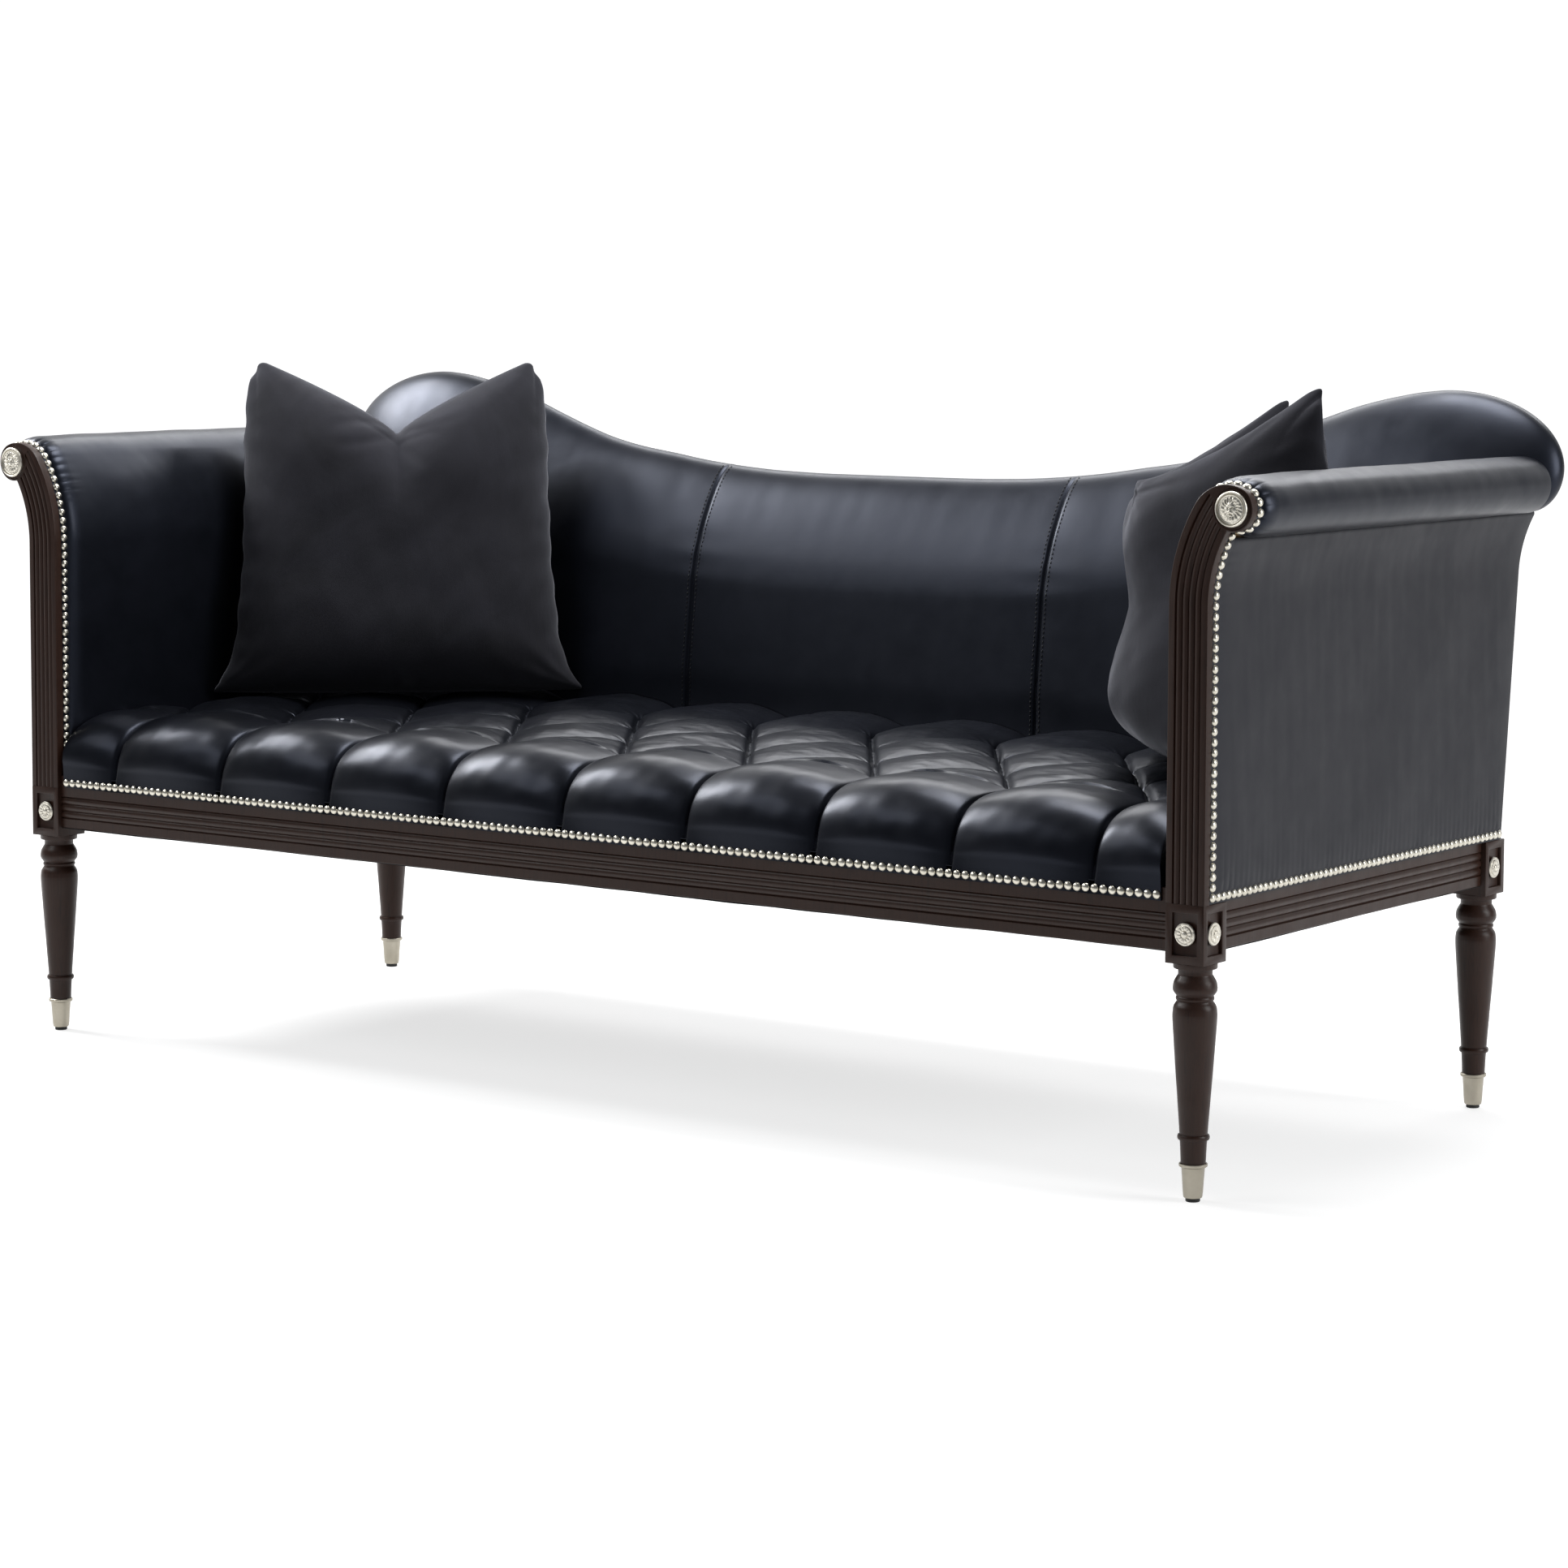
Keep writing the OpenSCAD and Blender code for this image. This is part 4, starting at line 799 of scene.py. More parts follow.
def shell(outer, inner):
    """Closed shell between two grids of the same size, (n, m, 3)."""
    n, m = outer.shape[:2]
    v = np.concatenate([outer.reshape(-1, 3), inner.reshape(-1, 3)])
    o = n * m
    f = grid_faces(n, m)
    f += [tuple(i + o for i in reversed(q)) for q in f]
    rim = [*range(0, o - m, m), *range(o - m, o - 1), *range(o - 1, m - 1, -m), *range(m - 1, 0, -1)]
    f += [(a, b, b + o, a + o) for a, b in zip(rim, rim[1:] + rim[:1])]
    return v, f


def inner_run(gi, go=0):
    """The arm's outline from the inside foot to where the scroll meets the outside panel."""
    return arm_outline(gi, go, ARM_FOOT_Z, NA)[:ARM_N]


def flare(z):
    """How far the outside arm leans out at height z."""
    return BR - np.sqrt(BR ** 2 - np.clip(z - BC[1], 0, 150) ** 2)


def arm_pad(side, seed):
    rng = np.random.RandomState(seed)
    depth = stretches((0, 60, 770), (44, 96))
    base = inner_run(0)
    ds = lengths(base)
    bend0, foot = ds[NA[0] + 20], ds[-1]
    folds = 60
    amp = rng.uniform(0.75, 1.35, folds)
    reach = rng.uniform(11, 26, folds)
    k = np.clip((ds / PITCH).astype(int), 0, folds - 1)
    outer, inner = [], []
    y0, y1 = SHOW - D2, rear_y(base[:, 1]) - 54
    for d in depth:
        y = y0 + d / depth[-1] * (y1 - y0)
        g = PAD * ease((d - 11.5) / 26) * ease((depth[-1] - d) / 10) - 8 * (d > 768)
        o = inner_run(g)
        # pleats that run in from the nails
        on = smooth((ds - bend0) / 60) * smooth((foot + 8 - ds) / 14)
        dd = max(d - 9.0, 0)
        a = 1.55 * amp[k] * np.exp(-(dd / reach[k]) ** 1.5) * min(1, dd / 5.0)
        pleat = -a * on * crease(ds / PITCH - k, 0.6)
        tang = np.gradient(o, axis=0)
        nrm = np.column_stack([-tang[:, 1], tang[:, 0]])
        nrm /= np.linalg.norm(nrm, axis=1)[:, None]
        p3 = points(o[:, 0], y, o[:, 1])
        soft = smooth_noise(p3 + seed * 31.7, seed, 150) * 0.6 + smooth_noise(p3, seed + 1, 46) * 0.14
        soft *= smooth((d - 14) / 60) * smooth((foot - ds) / 25)
        crown = 1.6 * smooth((d - 20) / 120) * bell(ds - ds[NA[0] + NA[1] + 20], 90)
        o = o + nrm * (pleat + soft + crown)[:, None]
        outer.append(points(W2 + o[:, 0], y, o[:, 1]))
        i = inner_run(-2, -2) if d < 13.5 else inner_run(-13, -7)
        inner.append(points(W2 + i[:, 0], y, i[:, 1]))
    v, f = handed(side, *shell(np.array(outer), np.array(inner)))
    ob = make("arm_pad_" + side, v, f, LEATHER, "leather", sharp=0.9)


def arm_panel(side, seed):
    rng = np.random.RandomState(seed)
    zs = stretches((ARM_SEAM_Z, BC[1], ARM_FOOT_Z, TOP + 0.6), (40, 60, 24))
    ds = stretches((0, 60, 700, 778), (40, 170, 30))
    folds = 90
    amp = rng.uniform(0.4, 1.3, folds)
    outer, inner = [], []
    for z in zs:
        x = flare(z)
        y = (SHOW - D2) + ds / ds[-1] * (rear_y(z) - (SHOW - D2))
        p3 = points(x, y, z)
        edge = np.minimum(np.minimum(ds - 11.5, z - NAIL_Z), ds[-1] - ds)
        puff = 2.4 * (1 - np.exp(-np.clip(edge, 0, None) / 16))
        puff *= smooth((ARM_SEAM_Z + 4 - z) / 30) * 0.75 + 0.25
        # pleats up from the lower nails and back from the post's nails
        u, up_z = (y - SIDE_Y0) / PITCH, max(z - NAIL_Z - 4, 0)
        k = np.clip(u.astype(int), 0, folds - 1)
        wr = -amp[k] * crease(u - k, 0.7) * math.exp(-up_z / 26) * min(1, up_z / 5)
        wr *= smooth((ds - 14) / 20)
        u, back = (z - NAIL_Z) / PITCH, np.clip(ds - SHOW, 0, None)
        k = int(min(max(u, 0), folds - 1))
        fade = np.exp(-back / 16) * np.clip(back / 4, 0, 1)
        wr = wr - 0.8 * amp[(k * 7) % folds] * crease(u - k, 0.7) * fade
        soft = smooth_noise(p3 * [1, 1, 0.35], seed, 90) * 0.5 + smooth_noise(p3, seed + 3, 240) * 0.9
        patches = 1 + smooth_noise(p3, seed + 9, 300, 1)
        soft += smooth_noise(p3 * [1, 1, 0.2], seed + 8, 38) * 0.12 * patches
        soft = soft * smooth((edge - 4) / 60)
        tuck = -3.0 * bell(z - ARM_SEAM_Z, 2.2)
        outer.append(points(W2 + x + puff + wr + soft + tuck, y, z))
        inner.append(points(W2 + x - 7, y, z))
    v, f = handed(side, *shell(np.array(outer), np.array(inner)))
    make("arm_panel_" + side, v, f, OUTSIDE, "outside_leather", sharp=0.9)


for side, seed in (("left", 11), ("right", 23)):
    arm_pad(side, seed)
    arm_panel(side, seed + 4)


# ---------------- upholstery: back
SHARES = np.array([[0, 0], [0.13, 0.001], [0.235, 0.016], [0.32, 0.05], [0.4, 0.103], [0.47, 0.168],
                   [0.54, 0.23], [0.605, 0.315], [0.665, 0.43], [0.73, 0.575], [0.79, 0.715],
                   [0.85, 0.84], [0.91, 0.93], [0.957, 0.98], [1, 1]])


ROLL_W, ROLL_D = 170.0, 75.0       # how far the roll at the inside back's top runs down and back
REAR_ROLL = 61.0                   # width of the turn-over behind


def monotone(xs, ys):
    """Monotone cubic through the points, flat at both ends."""
    h = np.diff(xs)
    d = np.diff(ys) / h
    m = np.zeros(len(xs))
    for i in range(1, len(xs) - 1):
        if d[i - 1] * d[i] > 0:
            m[i] = 2 * d[i - 1] * d[i] / (d[i - 1] + d[i])

    def at(x):
        k = np.clip(np.searchsorted(xs, x, side="right") - 1, 0, len(xs) - 2)
        t = (x - xs[k]) / h[k]
        return ((1 + 2 * t) * (1 - t) ** 2 * ys[k] + t * (1 - t) ** 2 * h[k] * m[k]
                + t * t * (3 - 2 * t) * ys[k + 1] + t * t * (t - 1) * h[k] * m[k + 1])
    return at


rise = monotone(SHARES[:, 0] * HUMP_X, DIP_Z + (HUMP_Z - DIP_Z) * SHARES[:, 1])
EAR_FOOT = np.array([W2 + SC[0] * 0.7, ARM_SEAM_Z + 0.4])


def quarter(cx, cz, rx, rz, degrees):
    """Points of an ellipse round (cx, cz) at the angles in degrees, without the last."""
    a = np.radians(degrees)[:-1]
    return np.column_stack([cx + rx * np.cos(a), cz + rz * np.sin(a)])


EAR_POINTS = (40, 90)              # along the ear below and above its widest


def back_half():
    """Fine outline of the back's right half, from the ear's foot to the middle."""
    ear_x, ear_z = EAR_FOOT
    lower = quarter(ear_x, EAR_Z, HUMP_X + EAR_W - ear_x, ear_z - EAR_Z,
                    np.linspace(90, 0, EAR_POINTS[0]))
    upper = quarter(HUMP_X, EAR_Z, EAR_W, HUMP_Z - EAR_Z, np.linspace(0, 90, EAR_POINTS[1]))
    xs = [HUMP_X]
    while xs[-1] > 4.5:
        near = abs(xs[-1] - SEAM_X)
        xs.append(xs[-1] - (1.3 if near < 16 else 2.2 if near < 30 else 4.4))
    return np.vstack([lower, upper, np.column_stack([xs, rise(np.array(xs))])])


HALF = back_half()
OUTLINE = np.vstack([HALF, [[0, DIP_Z]], (HALF * [-1, 1])[::-1]])


def to_outline(p):
    """Distance in the front view from points (n, 2) to the back's outline."""
    a = OUTLINE[:-1:2]
    d = OUTLINE[2::2] - a
    out = np.empty(len(p))
    for i in range(0, len(p), 4000):
        q = p[i:i + 4000, None, :] - a[None]
        t = np.clip((q * d).sum(-1) / (d * d).sum(-1), 0, 1)
        out[i:i + 4000] = np.linalg.norm(q - t[..., None] * d, axis=-1).min(1)
    return out


def seam_gap(x):
    """Distance from the nearer of the inside back's two seams."""
    return np.abs(np.abs(x) - SEAM_X)


def back_relief(x, z, d):
    """How far the inside back stands out, towards -Y: seams, streaks, fullness and pulls."""
    dx = seam_gap(x)
    out = -3.4 * bell(dx, 2.2) - 1.6 * np.exp(-dx / 26.0)
    p = points(x, 0.0, z)
    streak = smooth_noise(p * [1, 1, 0.16], 41, 80) * 0.3
    streak += smooth_noise(p * [1, 1, 0.3], 42, 260, 1) * 1.1
    out += streak * smooth(d / 26) * smooth((z - 440) / 60)
    fullness = 1 - 0.25 * np.cos(x / SEAM_X * math.pi)
    out += 4.0 * smooth((z - 470) / 60) * smooth((d - 10) / 120) * fullness
    pulls = np.exp(-dx / 40) * np.sin(z / 11.0 + 3 * np.sin(z / 37))
    return out + 0.4 * pulls * smooth(d / 20) * np.clip(dx / 5, 0, 1)


def inside_back_y(x, z, d):
    """Face of the inside back at (x, z), d away from the outline."""
    k = np.clip(1 - d / ROLL_W, 0, 1)
    return inside_y(z) + ROLL_D * (1 - np.sqrt(np.clip(1 - k ** 1.4, 0, 1))) - back_relief(x, z, d)


PAD_SIDE_X = W2 - BLOCK + PAD
NH = len(HALF)


def pad_base(i):
    """Foot of the column under outline point i: straight below it, fanned in behind the arm."""
    if i > NH:
        p = pad_base(2 * NH - i)
        return np.array([-p[0], p[1]])
    ear = sum(EAR_POINTS) - 2
    if i < ear:
        low = 9 * min(1, i / 60.0) + 330 * max(0, i / ear - 0.47) / 0.53
        return np.array([PAD_SIDE_X, EAR_FOOT[1] - low])
    x = HALF[i][0] if i < NH else 0
    return np.array([x + (PAD_SIDE_X - HUMP_X) * float(smooth((x - 700) / 200)), 440.0])


# shares of a column on its roll, and of the rest below it
ROLL = np.concatenate([[0, 0.002, 0.006], np.linspace(0.012, 1, 38) ** 1.5])
LOWER = np.linspace(0, 1, 22)[1:]


def back_pad():
    n = len(OUTLINE)
    down = np.array([pad_base(i) for i in range(n)]) - OUTLINE
    r = np.minimum(ROLL_W / np.linalg.norm(down, axis=1), 0.7)

    def face(roll):
        """x, z and distance from the outline of the points on every column."""
        share = np.concatenate([np.outer(r, roll), r[:, None] + np.outer(1 - r, LOWER)], axis=1)
        p = (OUTLINE[:, None] + down[:, None] * share[..., None]).reshape(-1, 2)
        return p[:, 0], p[:, 1], to_outline(p)

    x, z, d = face(ROLL)
    d[::len(d) // n] = 0
    front = points(x, inside_back_y(x, z, d), z).reshape(n, -1, 3)
    # behind: the quarter round over the frame, then the flat that lies on it
    x, z, d = face(ROLL[1:])
    y0 = inside_y(z) + ROLL_D
    k = np.clip(1 - d / REAR_ROLL, 0, 1)
    y = y0 + (rear_y(z) - y0) * np.sqrt(1 - k * k)
    soft = smooth_noise(points(x, 0.0, z) * [1, 1, 0.3], 77, 60) * 0.8
    y += soft * smooth(d / 20) * smooth((REAR_ROLL - d) / 20)
    y -= 3.0 * bell(seam_gap(x), 3.0) * smooth((REAR_ROLL + 5 - d) / 12)
    y = np.where(d > REAR_ROLL + 1.5, rear_y(z) - 45, y)
    rear = points(x, y, z).reshape(n, -1, 3)
    ring = np.concatenate([front, rear[:, ::-1]], axis=1)
    ob = make("back_pad", ring.reshape(-1, 3), capped(*ring.shape[:2]), LEATHER, "leather", sharp=1.0)


back_pad()


# a stitch's sections as (share of its length, share of its radius, lift)
BEAD = ((0, 0.35, -0.5), (0.12, 0.9, 0.1), (0.5, 1, 0.5), (0.88, 0.9, 0.1), (1, 0.35, -0.5))


def stitches(line, normal):
    """Stitches along a line of points, each a small flattened bead lying on the surface."""
    r, length, gap = 0.55, 4.6, 2.1
    seg = lengths(line)

    def along(rows, s):
        return np.array([np.interp(s, seg, rows[:, k]) for k in range(3)])

    parts = []
    s = 1.0
    while s + length < seg[-1]:
        a, b, nn = along(line, s), along(line, s + length), along(normal, s + length / 2)
        nn /= np.linalg.norm(nn)
        t = (b - a) / np.linalg.norm(b - a)
        w = np.cross(nn, t)
        st = []
        for u, rad, lift in BEAD:
            c = a + (b - a) * u + nn * lift
            st += [c + (w * math.cos(q) + nn * math.sin(q)) * r * rad
                   for q in np.arange(6) * math.pi / 3]
        parts.append((np.array(st), capped(5, 6)))
        s += length + gap
    return parts


def stitched_seam(x):
    """Row of stitches up the inside back at x."""
    z = np.linspace(452, float(rise(np.array([abs(x)]))[0]) - 1.0, 260)
    x = np.full_like(z, x)
    line = points(x, inside_back_y(x, z, to_outline(np.column_stack([x, z]))), z)
    t = np.gradient(line, axis=0)
    nrm = np.cross(t, [1.0, 0, 0])
    nrm[nrm[:, 1] > 0] *= -1
    nrm /= np.linalg.norm(nrm, axis=1)[:, None]
    return stitches(line + nrm * 0.15, nrm)


rows = [stitched_seam(x0 + dx) for x0 in (-SEAM_X, SEAM_X) for dx in (-7.5, 7.5)]
v, f = join_parts(sum(rows, []))
make("back_stitches", v, f, THREAD, "leather", node="")


def back_panel():
    """Outside back: a leather sheet over the frame, its edge turned under along the roll."""
    g, side = REAR_ROLL + 1, W2 - 7
    xs = np.linspace(HUMP_X, 4, 200)
    half = np.vstack([[(side, ARM_SEAM_Z + 2)], [(side, EAR_Z - g / 2)],
                      quarter(HUMP_X, EAR_Z, EAR_W - g, HUMP_Z - EAR_Z - g, np.linspace(0, 90, 60)),
                      np.column_stack([xs, rise(xs) - g])])
    line = np.vstack([half, [[0, DIP_Z - g]], (half * [-1, 1])[::-1]])
    rows = stretches((0, 0.12, 0.9, 1), (14, 40, 12))
    foot = np.column_stack([np.clip(line[:, 0], -side, side), np.full(len(line), TOP + 1.0)])
    P = line[:, None] + (foot - line)[:, None] * rows[None, :, None]
    x, z = P[..., 0], P[..., 1]
    # below the arm's seam it stays within the outside arms
    x = np.where(z < ARM_SEAM_Z, np.clip(x, -(side + flare(z)), side + flare(z)), x)
    e = np.clip(np.minimum(np.minimum(line[:, None, 1] - z, z - TOP), W2 - np.abs(x)), 0, None)
    soft = smooth_noise(points(x, 0.0, z) * [1, 1, 0.4], 91, 260) * 1.3 * smooth(e / 80)
    y = rear_y(z) + 3.2 * (1 - np.exp(-e / 22)) + soft - 1.2 * bell(e, 3)
    v, f = shell(points(x, y, z)[::-1], points(x, rear_y(z) - 6.6, z)[::-1])
    make("back_panel", v, f, OUTSIDE, "outside_leather", sharp=0.9)


back_panel()
xs, zc = np.linspace(-(W2 - 9), W2 - 9, 120), TOP + 7
ring = [(math.cos(a), math.sin(a)) for a in np.arange(12) * math.pi / 6]
v = np.array([[x, rear_y(zc) + 1.4 + 3.4 * c, zc + 5.2 * s] for x in xs for c, s in ring])
make("rear_edge_strip", v, capped(len(xs), len(ring)), OUTSIDE, "outside_leather")

# ---------------- upholstery: seat
SEAT_EDGE_Z, SEAT_EDGE_R, SIDE_DROP = RAIL_TOP + 20.0, 72.0, 24.0
TUFT_Y1 = TUFT_Y0 + 3 * TUFT_D
VALLEY = catmull([(-391, 367), (-388, 378), (-382, 397), (-376, 414), (-367, 430), (-351, 444), (-334, 451),
                  (-314, 455.5), (-286, 457), (TUFT_Y0, 457)], 10)


DECK = RAIL_TOP + 4.0              # top of the burlap, on which the foam lies
FOAM_H, FOAM_Y0, FOAM_Y1 = 34, 35 - D2, inside_y(DECK) - 28


def side_fall(x):
    """How far the seat is rounded down near its sides."""
    k = np.clip(1 - (SEAT_HALF - np.abs(x)) / SEAT_EDGE_R, 0, 1)
    return SIDE_DROP * (1 - np.sqrt(1 - k ** 2))


def seat():
    half_w = TUFT_W / 2
    xs = [-SEAT_HALF]
    while xs[-1] < SEAT_HALF - 0.8:
        k = abs((xs[-1] / half_w + 0.5) % 1.0 - 0.5) * half_w
        xs.append(xs[-1] + (1.2 if k < 7 else 2.0 if k < 20 else 3.6))
    xs[-1] = SEAT_HALF
    xs = np.array(xs)
    # front face to the first row of tufts: blend of a valley section and a crest section
    run = np.linspace(0, 1, 90)
    a = np.linspace(0, math.pi / 2, 60)
    r = SEAT_EDGE_R + 6
    crest = np.vstack([[(-391, 367), (-391.6, 385), (-392.5, 400)],
                       np.column_stack([-393.5 + r - r * np.cos(a),
                                        SEAT_EDGE_Z + 2 + (482 - SEAT_EDGE_Z - 2) * np.sin(a)]),
                       [(-300, 482.4), (-275, 482.0), (TUFT_Y0, 481)]])

    def along_run(line):
        share = lengths(line) / lengths(line)[-1]
        return np.interp(run, share, line[:, 0]), np.interp(run, share, line[:, 1])

    vy, vz = along_run(VALLEY)
    cy, cz = along_run(crest)
    X, S = np.meshgrid(xs, run, indexing="ij")
    w = np.abs(np.sin(math.pi * X / TUFT_W))
    q = 0.76 * w ** 0.32 + 0.24 * w ** 1.2
    fold = bell(w, 0.05) * smooth(S / 0.1)
    Y = vy[None] + (cy - vy)[None] * q + 3.5 * fold
    Z = vz[None] + (cz - vz)[None] * q - 3.0 * fold * smooth((S - 0.3) / 0.3)
    Z = Z - side_fall(X) * smooth((S - 0.15) / 0.5)
    soft = smooth_noise(points(X, S * 180, 0.0), 63, 70)
    Y = Y - soft * smooth((S - 0.12) / 0.2) * 0.8
    Z = Z + soft * smooth((S - 0.4) / 0.3) * q * (1 - smooth((S - 0.9) / 0.1)) * 0.5
    # quilted top
    ys = np.linspace(TUFT_Y0, inside_y(TUFT_Z - SIDE_DROP) - GAP, 300)[1:]
    X2, Y2 = np.meshgrid(xs, ys, indexing="ij")
    v = (np.clip(Y2, TUFT_Y0, TUFT_Y1) - TUFT_Y0) / TUFT_D / 2
    A = np.abs(np.sin(math.pi * (X2 / TUFT_W + v)))
    B = np.abs(np.sin(math.pi * (X2 / TUFT_W - v)))
    hi, lo = np.maximum(A, B), np.minimum(A, B)
    base = 0.42 * hi ** 0.62 + 0.58 * (0.72 * lo ** 0.36 + 0.28 * lo)
    Z2 = TUFT_Z - 8 + (CROWN_Z + 11 - TUFT_Z) * base - 5.5 * bell(lo, 0.08) - side_fall(X2)
    # small gathers that run out from each tuft
    for r in range(4):
        off = half_w if r % 2 else 0
        dx = (X2 - off + half_w) % TUFT_W - half_w
        dy = Y2 - (TUFT_Y0 + r * TUFT_D)
        rad, ang = np.hypot(dx, dy), np.arctan2(dy, dx)
        cell = np.round((X2 - off) / TUFT_W)
        rays = 0.5 + 0.5 * np.cos(11 * ang + cell * 2.1 + r)
        Z2 -= 1.3 * bell(rad, 26.0) * rays * np.clip(rad / 6, 0, 1) + 3.0 * bell(rad, 7.0)
    p3 = points(X2, Y2, 0.0)
    soft = smooth_noise(p3, 61, 75) * 1.1 + smooth_noise(p3, 62, 24) * 0.25
    Z2 += soft * np.clip(base * 1.2, 0, 1)
    # underside: over the burlap, round the foam and down behind the front rail's face
    under = [(inside_y(DECK) - GAP, DECK), (FOAM_Y1, DECK), (FOAM_Y1, DECK + FOAM_H),
             (FOAM_Y0, DECK + FOAM_H), (FOAM_Y0, DECK), (21 - D2, DECK), (21 - D2, RAIL_TOP),
             (7 - D2, RAIL_TOP), (7 - D2, TOP + 1)]
    U = np.array([[(x, y, z) for y, z in under] for x in xs])
    ring = np.concatenate([points(X, Y, Z), points(X2, Y2, Z2), U], axis=1)
    ob = make("seat_cover", ring.reshape(-1, 3), capped(*ring.shape[:2]), SEAT, "leather", sharp=1.2)


seat()


# ---------------- pillows
PILLOW_SIDE = monotone(np.array([0, 0.03, 0.08, 0.16, 0.3, 0.5, 0.75, 0.88, 0.96, 1]),
                       np.array([1, 0.965, 0.925, 0.885, 0.857, 0.836, 0.828, 0.82, 0.795, 0.76]))
PILLOW_Z = 482.4                   # just over the crowns of the tufts


def root_out(x, power):
    """1 in the middle of -1 to 1, rounded down to 0 at both ends."""
    return (1 - np.abs(x) ** power) ** 0.58


def pillow(name, at, turn, lean, chop, cut, bow, tip, seed):
    """Chopped knife-edge pillow standing on the seat at (x, y), turned and leant by degrees.

    chop and cut give the depth and the shape of the dip at its top, bow how far its middle
    pushes forward, and tip how much lower the left ear hangs."""
    W, H, T, EAR = 560.0, 517.0, 196.0, 17.0   # width, height, thickness, rounding of the ears
    even = np.linspace(-1, 1, 150)
    u = np.sin(even * math.pi / 2) * 0.55 + even * 0.45
    U, V = np.meshgrid(u, u, indexing="ij")
    AU, AV = np.abs(U), np.abs(V)
    rng = np.random.RandomState(seed)
    S = (V + 1) / 2
    pucker = 0.004 * np.sin(S * 27 + seed) + 0.004 * np.sin(S * 61 + seed * np.sign(U))
    half = W / 2 * PILLOW_SIDE(S) * (1 + pucker * AU ** 6 * np.clip((1 - S) * 8, 0, 1))
    x = U * half
    z = S * (H - chop * (1 - AU ** cut)) + 4 * (1 - S) * AU ** 3
    q = np.clip(1 - (W / 2 * 0.76 - np.abs(x)) / EAR, 0, 1)
    z -= S ** 8 * EAR * (1 - np.sqrt(1 - q * q))
    near_top = smooth((V - 0.3) / 0.7)
    ridge = 1 - (np.sqrt(U * U + 0.02) - 0.02 ** 0.5) / (1.02 ** 0.5 - 0.02 ** 0.5)
    reach = np.where(V > 0, 190 - 120 * root_out(V, 1.2), 70 + 13 * smooth(-V * 1.2))
    push = (near_top * ridge + (1 - near_top) * (1 - AU ** 1.8)) * bow * reach
    z -= tip * (1 - U) / 2 * S ** 2
    seam_u, seam_v = 1 - AU, 1 - AV            # distance from the side and the end seams
    sides = []
    for s in (-1, 1):
        t = root_out(U, 2.8) * root_out(V, np.where((V < 0) & (s < 0), 5.0, 3.2))
        body = T / 2 * t * (1 - 0.22 * bell(U - 0.05 * (1 - V), 0.13) * smooth((V - 0.4) / 0.55))
        body = body + 9 * t * bell(AU - 0.4, 0.25) * smooth((V - 0.1) / 0.6)
        folds = np.zeros_like(U)
        # creases that run out from the chop
        for k in range(8):
            ang = -math.pi / 2 + (-1) ** k * rng.uniform(0.5, 1.45)
            du, dv = math.cos(ang), math.sin(ang)
            al = U * du + (V - 0.95) * dv
            ac = U * -dv + (V - 0.95) * du + 0.05 * np.sin(al * 5 + k)
            line = rng.uniform(1.6, 3.4) * bell(ac, 0.018 + 0.05 * np.clip(al, 0, 1))
            folds -= line * smooth(al / 0.1) * smooth((rng.uniform(0.35, 0.7) - al) / 0.3)
        # pulls from the corners
        for cu in (-1, 1):
            for cv in (-1, 1):
                a = np.arctan2((V - cv) * -cv, (U - cu) * -cu)
                r = np.hypot(U - cu, V - cv)
                waves = 1.5 * np.cos(a * rng.uniform(9, 12) + rng.uniform(0, 6))
                folds += waves * bell(r - 0.2, 0.17) * np.clip(np.sin(2 * a), 0, 1) ** 0.5
        # gathers along the seam
        for gap, along in ((seam_u, V), (seam_v, U)):
            folds += 1.1 * np.sin(along * 31 + seed + 2 * np.sin(along * 9)) * bell(gap - 0.05, 0.05)
        edge = smooth(np.minimum(seam_u, seam_v) / 0.05)
        p3 = points(x, s * 50.0, z)
        soft = smooth_noise(p3, seed + 5 + s, 210) * 3.0 + smooth_noise(p3, seed + 9 + s, 80) * 0.9
        y = s * (body + (folds + soft) * edge * np.clip(t * 1.4, 0, 1))
        y -= push * (1 if s < 0 else 0.25 + 0.75 * smooth((AV - 0.5) / 0.5))
        sides.append(points(x, y, z))
    v, f = shell(*sides)
    a, lean = math.radians(turn), math.radians(lean)
    ca, sa, cl, sl = math.cos(a), math.sin(a), math.cos(lean), math.sin(lean)
    rx = np.array([[1, 0, 0], [0, cl, -sl], [0, sl, cl]])
    rz = np.array([[ca, -sa, 0], [sa, ca, 0], [0, 0, 1]])
    v = v @ rx.T @ rz.T + [*at, PILLOW_Z]
    ob = crisp(name, v, f, VELVET, "velvet", body=name)
    for p in ob.data.edges:
        p.use_edge_sharp = False


pillow("pillow_left", (-720.0, 100.6), turn=43, lean=-10, chop=123, cut=0.8, bow=0.15, tip=0, seed=7)
pillow("pillow_right", (773.0, 50.0), turn=-55.6, lean=-11.2, chop=163, cut=1.8, bow=1.0, tip=27,
       seed=19)

# ---------------- hidden layers
SHEET_X, SHEET_Y, CORNER = W2 - 9, D2 - 9, BLOCK + 2         # half sizes, and the cut for a leg
X, Y = np.meshgrid(np.linspace(-SHEET_X, SHEET_X, 120), np.linspace(-SHEET_Y, SHEET_Y, 48),
                   indexing="ij")
e = np.minimum(SHEET_X - np.abs(X), SHEET_Y - np.abs(Y))
Z = 306.4 - 3.0 * smooth(e / 300) + smooth_noise(points(X, Y, 0.0), 5, 300) * 0.8
v, f = shell(points(X, Y, Z), points(X, Y, Z - 1.0))
cx, cy = np.abs(v[:, 0]), np.abs(v[:, 1])
keep = [q for q in f if not all(cx[i] > W2 - CORNER and cy[i] > D2 - CORNER for i in q)]
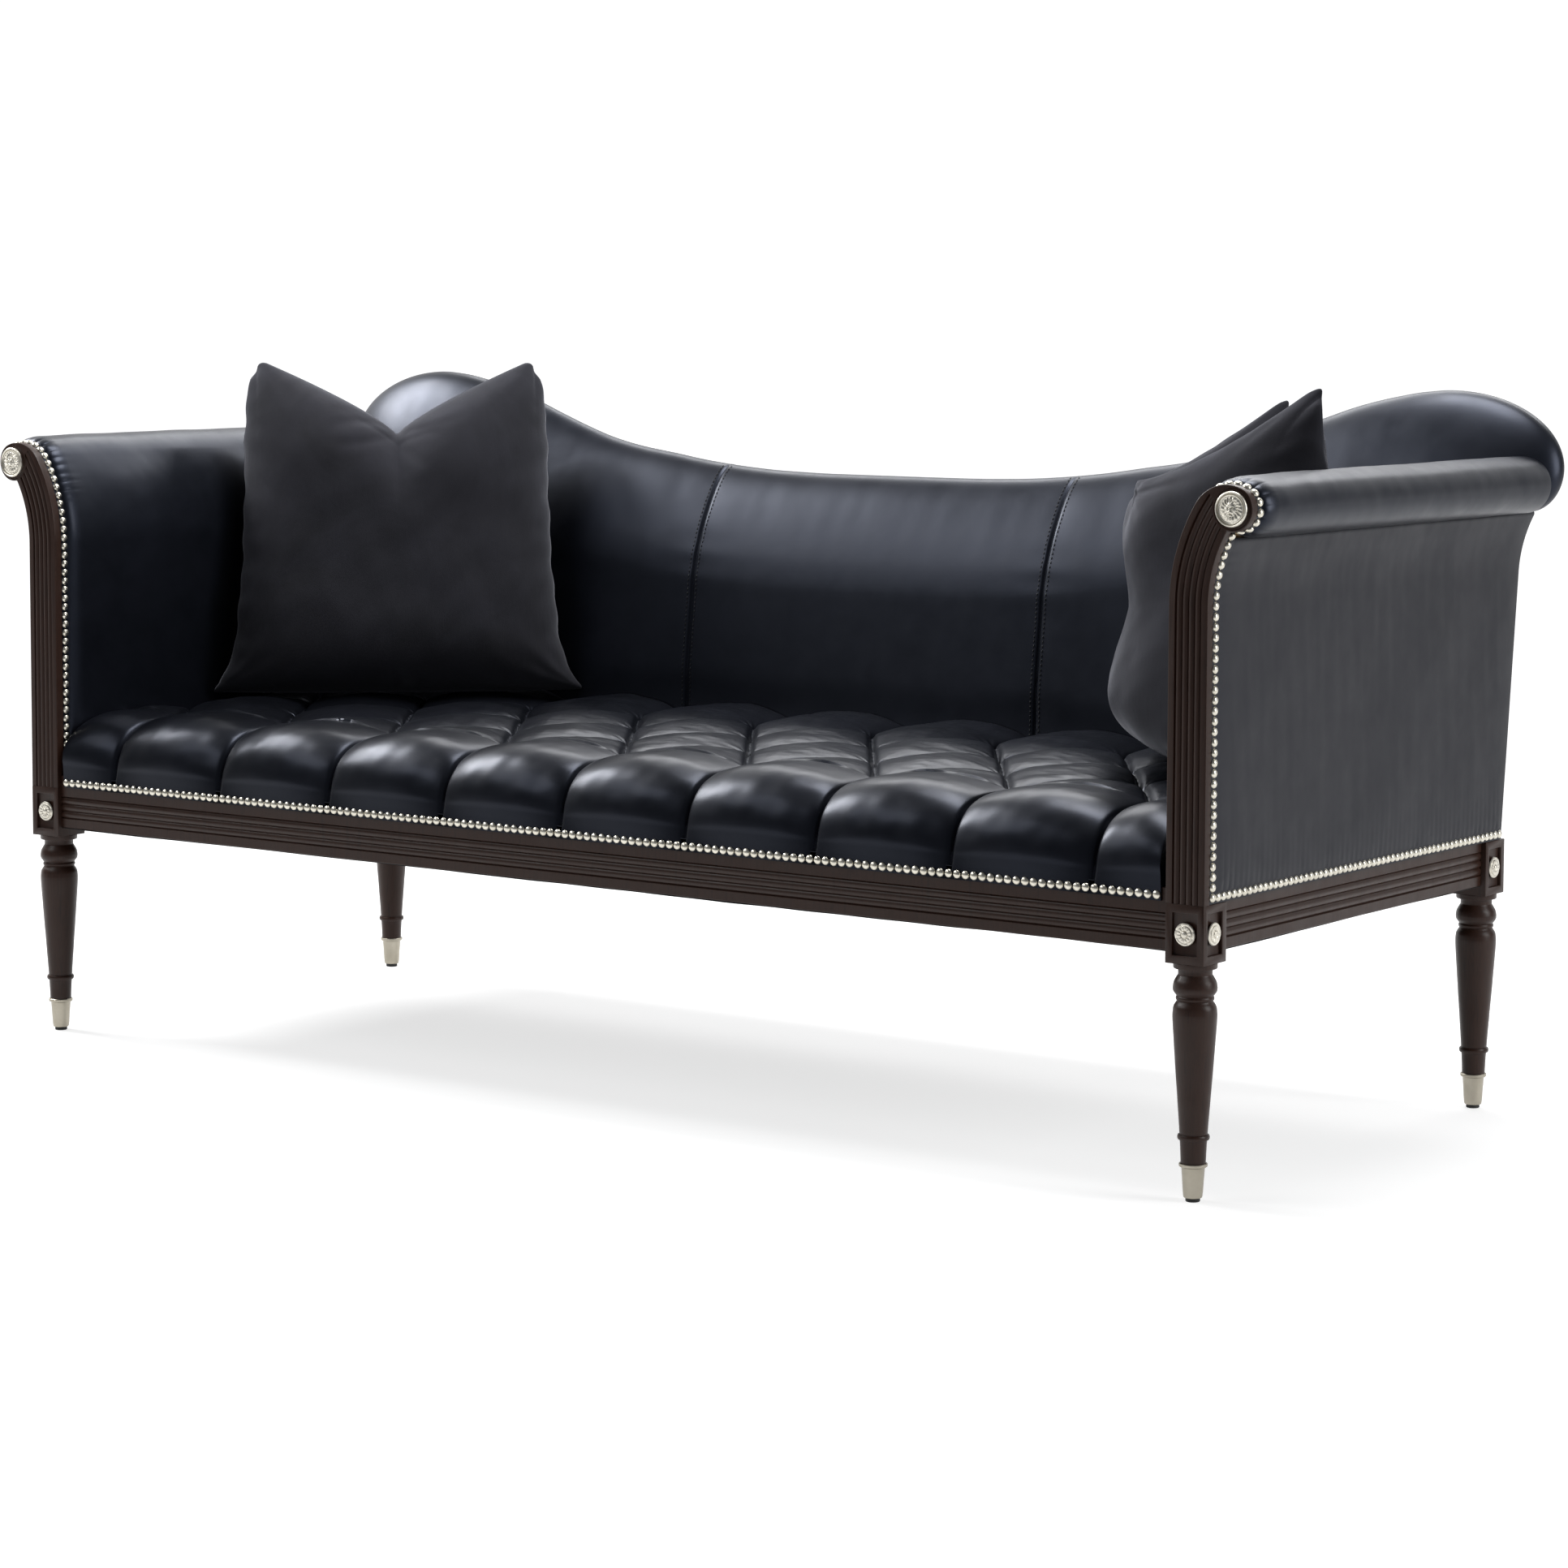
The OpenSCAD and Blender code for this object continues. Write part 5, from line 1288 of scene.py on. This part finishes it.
# close the cut corners between the upper and the lower face
under = len(v) // 2
edges = {(q[i], q[(i + 1) % len(q)]) for q in keep for i in range(len(q))}
keep += [(b, a, a + under, b + under) for a, b in sorted(edges)
         if (b, a) not in edges and max(a, b) < under]
ob = make("dust_cover", v, keep, DUST, "dust_cloth")

v, f = box((-SEAT_HALF + 1, FOAM_Y0 + 0.5, DECK),
           (SEAT_HALF - 1, FOAM_Y1 - 0.5, DECK + FOAM_H - GAP))
ob = make("seat_foam", v, f, FOAM, "foam")
soften(ob, 4, 0.5, 3)

# ---------------- stage and light
floor_m = Mat("floor_white")
floor_m.set(Base_Color=floor_m.ramp(floor_m.noise(3, 2), [(0.3, grey(0.44)), (0.7, grey(0.46))]),
            Roughness=0.75, Specular_IOR_Level=0.1)
# a glow that only the camera and reflections see, and that grows behind the settee
lp = floor_m.node("ShaderNodeLightPath")
mirrored = floor_m.math("MAXIMUM", lp.outputs["Is Glossy Ray"], lp.outputs["Is Transmission Ray"])
seen = floor_m.math("MAXIMUM", lp.outputs["Is Camera Ray"], mirrored)
em = floor_m.node("ShaderNodeEmission")
em.inputs["Color"].default_value = (1, 1, 1, 1)
away = floor_m.node("ShaderNodeVectorMath", operation="DOT_PRODUCT")
floor_m.link(floor_m.coord, away.inputs[0])
away.inputs[1].default_value = fwd
glow = floor_m.node("ShaderNodeMapRange")
floor_m.link(away.outputs["Value"], glow.inputs["Value"])
for socket, value in (("From Min", 2.0), ("From Max", 4.5), ("To Min", 0.71), ("To Max", 1.0)):
    glow.inputs[socket].default_value = value
floor_m.link(floor_m.math("MULTIPLY", seen, glow.outputs["Result"]), em.inputs["Strength"])
add = floor_m.node("ShaderNodeAddShader")
floor_m.link(floor_m.b.outputs[0], add.inputs[0])
floor_m.link(em.outputs[0], add.inputs[1])
out = [n for n in floor_m.t.nodes if n.type == "OUTPUT_MATERIAL"][0]
floor_m.link(add.outputs[0], out.inputs["Surface"])


def spot(f, r, z):
    """Place f in front of the origin as the camera looks, r to its right and z up, in m."""
    p = fwd * f + rgt * r
    return (p.x, p.y, z)


# floor that sweeps up into the backdrop behind the settee, square to the camera
FLOOR_NEAR, FLOOR_FAR, SWEEP, WALL_TOP, WIDE = -2.7, 4.9, 5.6, 15.6, 20.0
prof = [(FLOOR_NEAR, 0.0), (FLOOR_FAR, 0.0)]
for i in range(1, 17):
    a = math.pi / 2 * i / 16
    prof.append((FLOOR_FAR + SWEEP * math.sin(a), SWEEP - SWEEP * math.cos(a)))
prof.append((FLOOR_FAR + SWEEP, WALL_TOP))
sv = [spot(d, s, z) for d, z in prof for s in (-WIDE, WIDE)]
me = bpy.data.meshes.new("backdrop")
me.from_pydata(sv, [], [(2 * i, 2 * i + 1, 2 * i + 3, 2 * i + 2) for i in range(len(prof) - 1)])
me.materials.append(floor_m.m)
stage = bpy.data.objects.new("backdrop", me)
for p in me.polygons:
    p.use_smooth = True
bpy.context.collection.objects.link(stage)

world = bpy.data.worlds.new("world")
bpy.context.scene.world = world
world.use_nodes = True
bg = world.node_tree.nodes["Background"]
bg.inputs["Color"].default_value = (0.92, 0.95, 1.0, 1)
bg.inputs["Strength"].default_value = 0.16


def lamp(name, loc, target, size, power):
    li = bpy.data.lights.new(name, "AREA")
    li.shape = "RECTANGLE"
    li.size, li.size_y = size
    li.energy = power
    ob = bpy.data.objects.new(name, li)
    ob.location = loc
    ob.rotation_euler = (Vector(target) - Vector(loc)).to_track_quat("-Z", "Y").to_euler()
    bpy.context.collection.objects.link(ob)


lamp("side", (-3.1, -0.45, 2.85), (-0.5, 0.2, 0.8), (1.3, 1.3), 150)
lamp("key", spot(-1.0, -3.1, 3.0), (0, 0.2, 0.75), (1.8, 1.5), 32)
lamp("over", spot(0.2, 0.5, 3.4), (0.2, 0, 0.3), (1.9, 1.2), 105)
lamp("fill", spot(-1.8, 3.6, 1.7), (0.3, 0, 0.6), (1.4, 2.2), 70)
lamp("back", spot(2.4, 1.0, 3.0), (0.2, 0.2, 0.7), (4.0, 0.8), 60)

bpy.context.scene.view_settings.view_transform = "Standard"
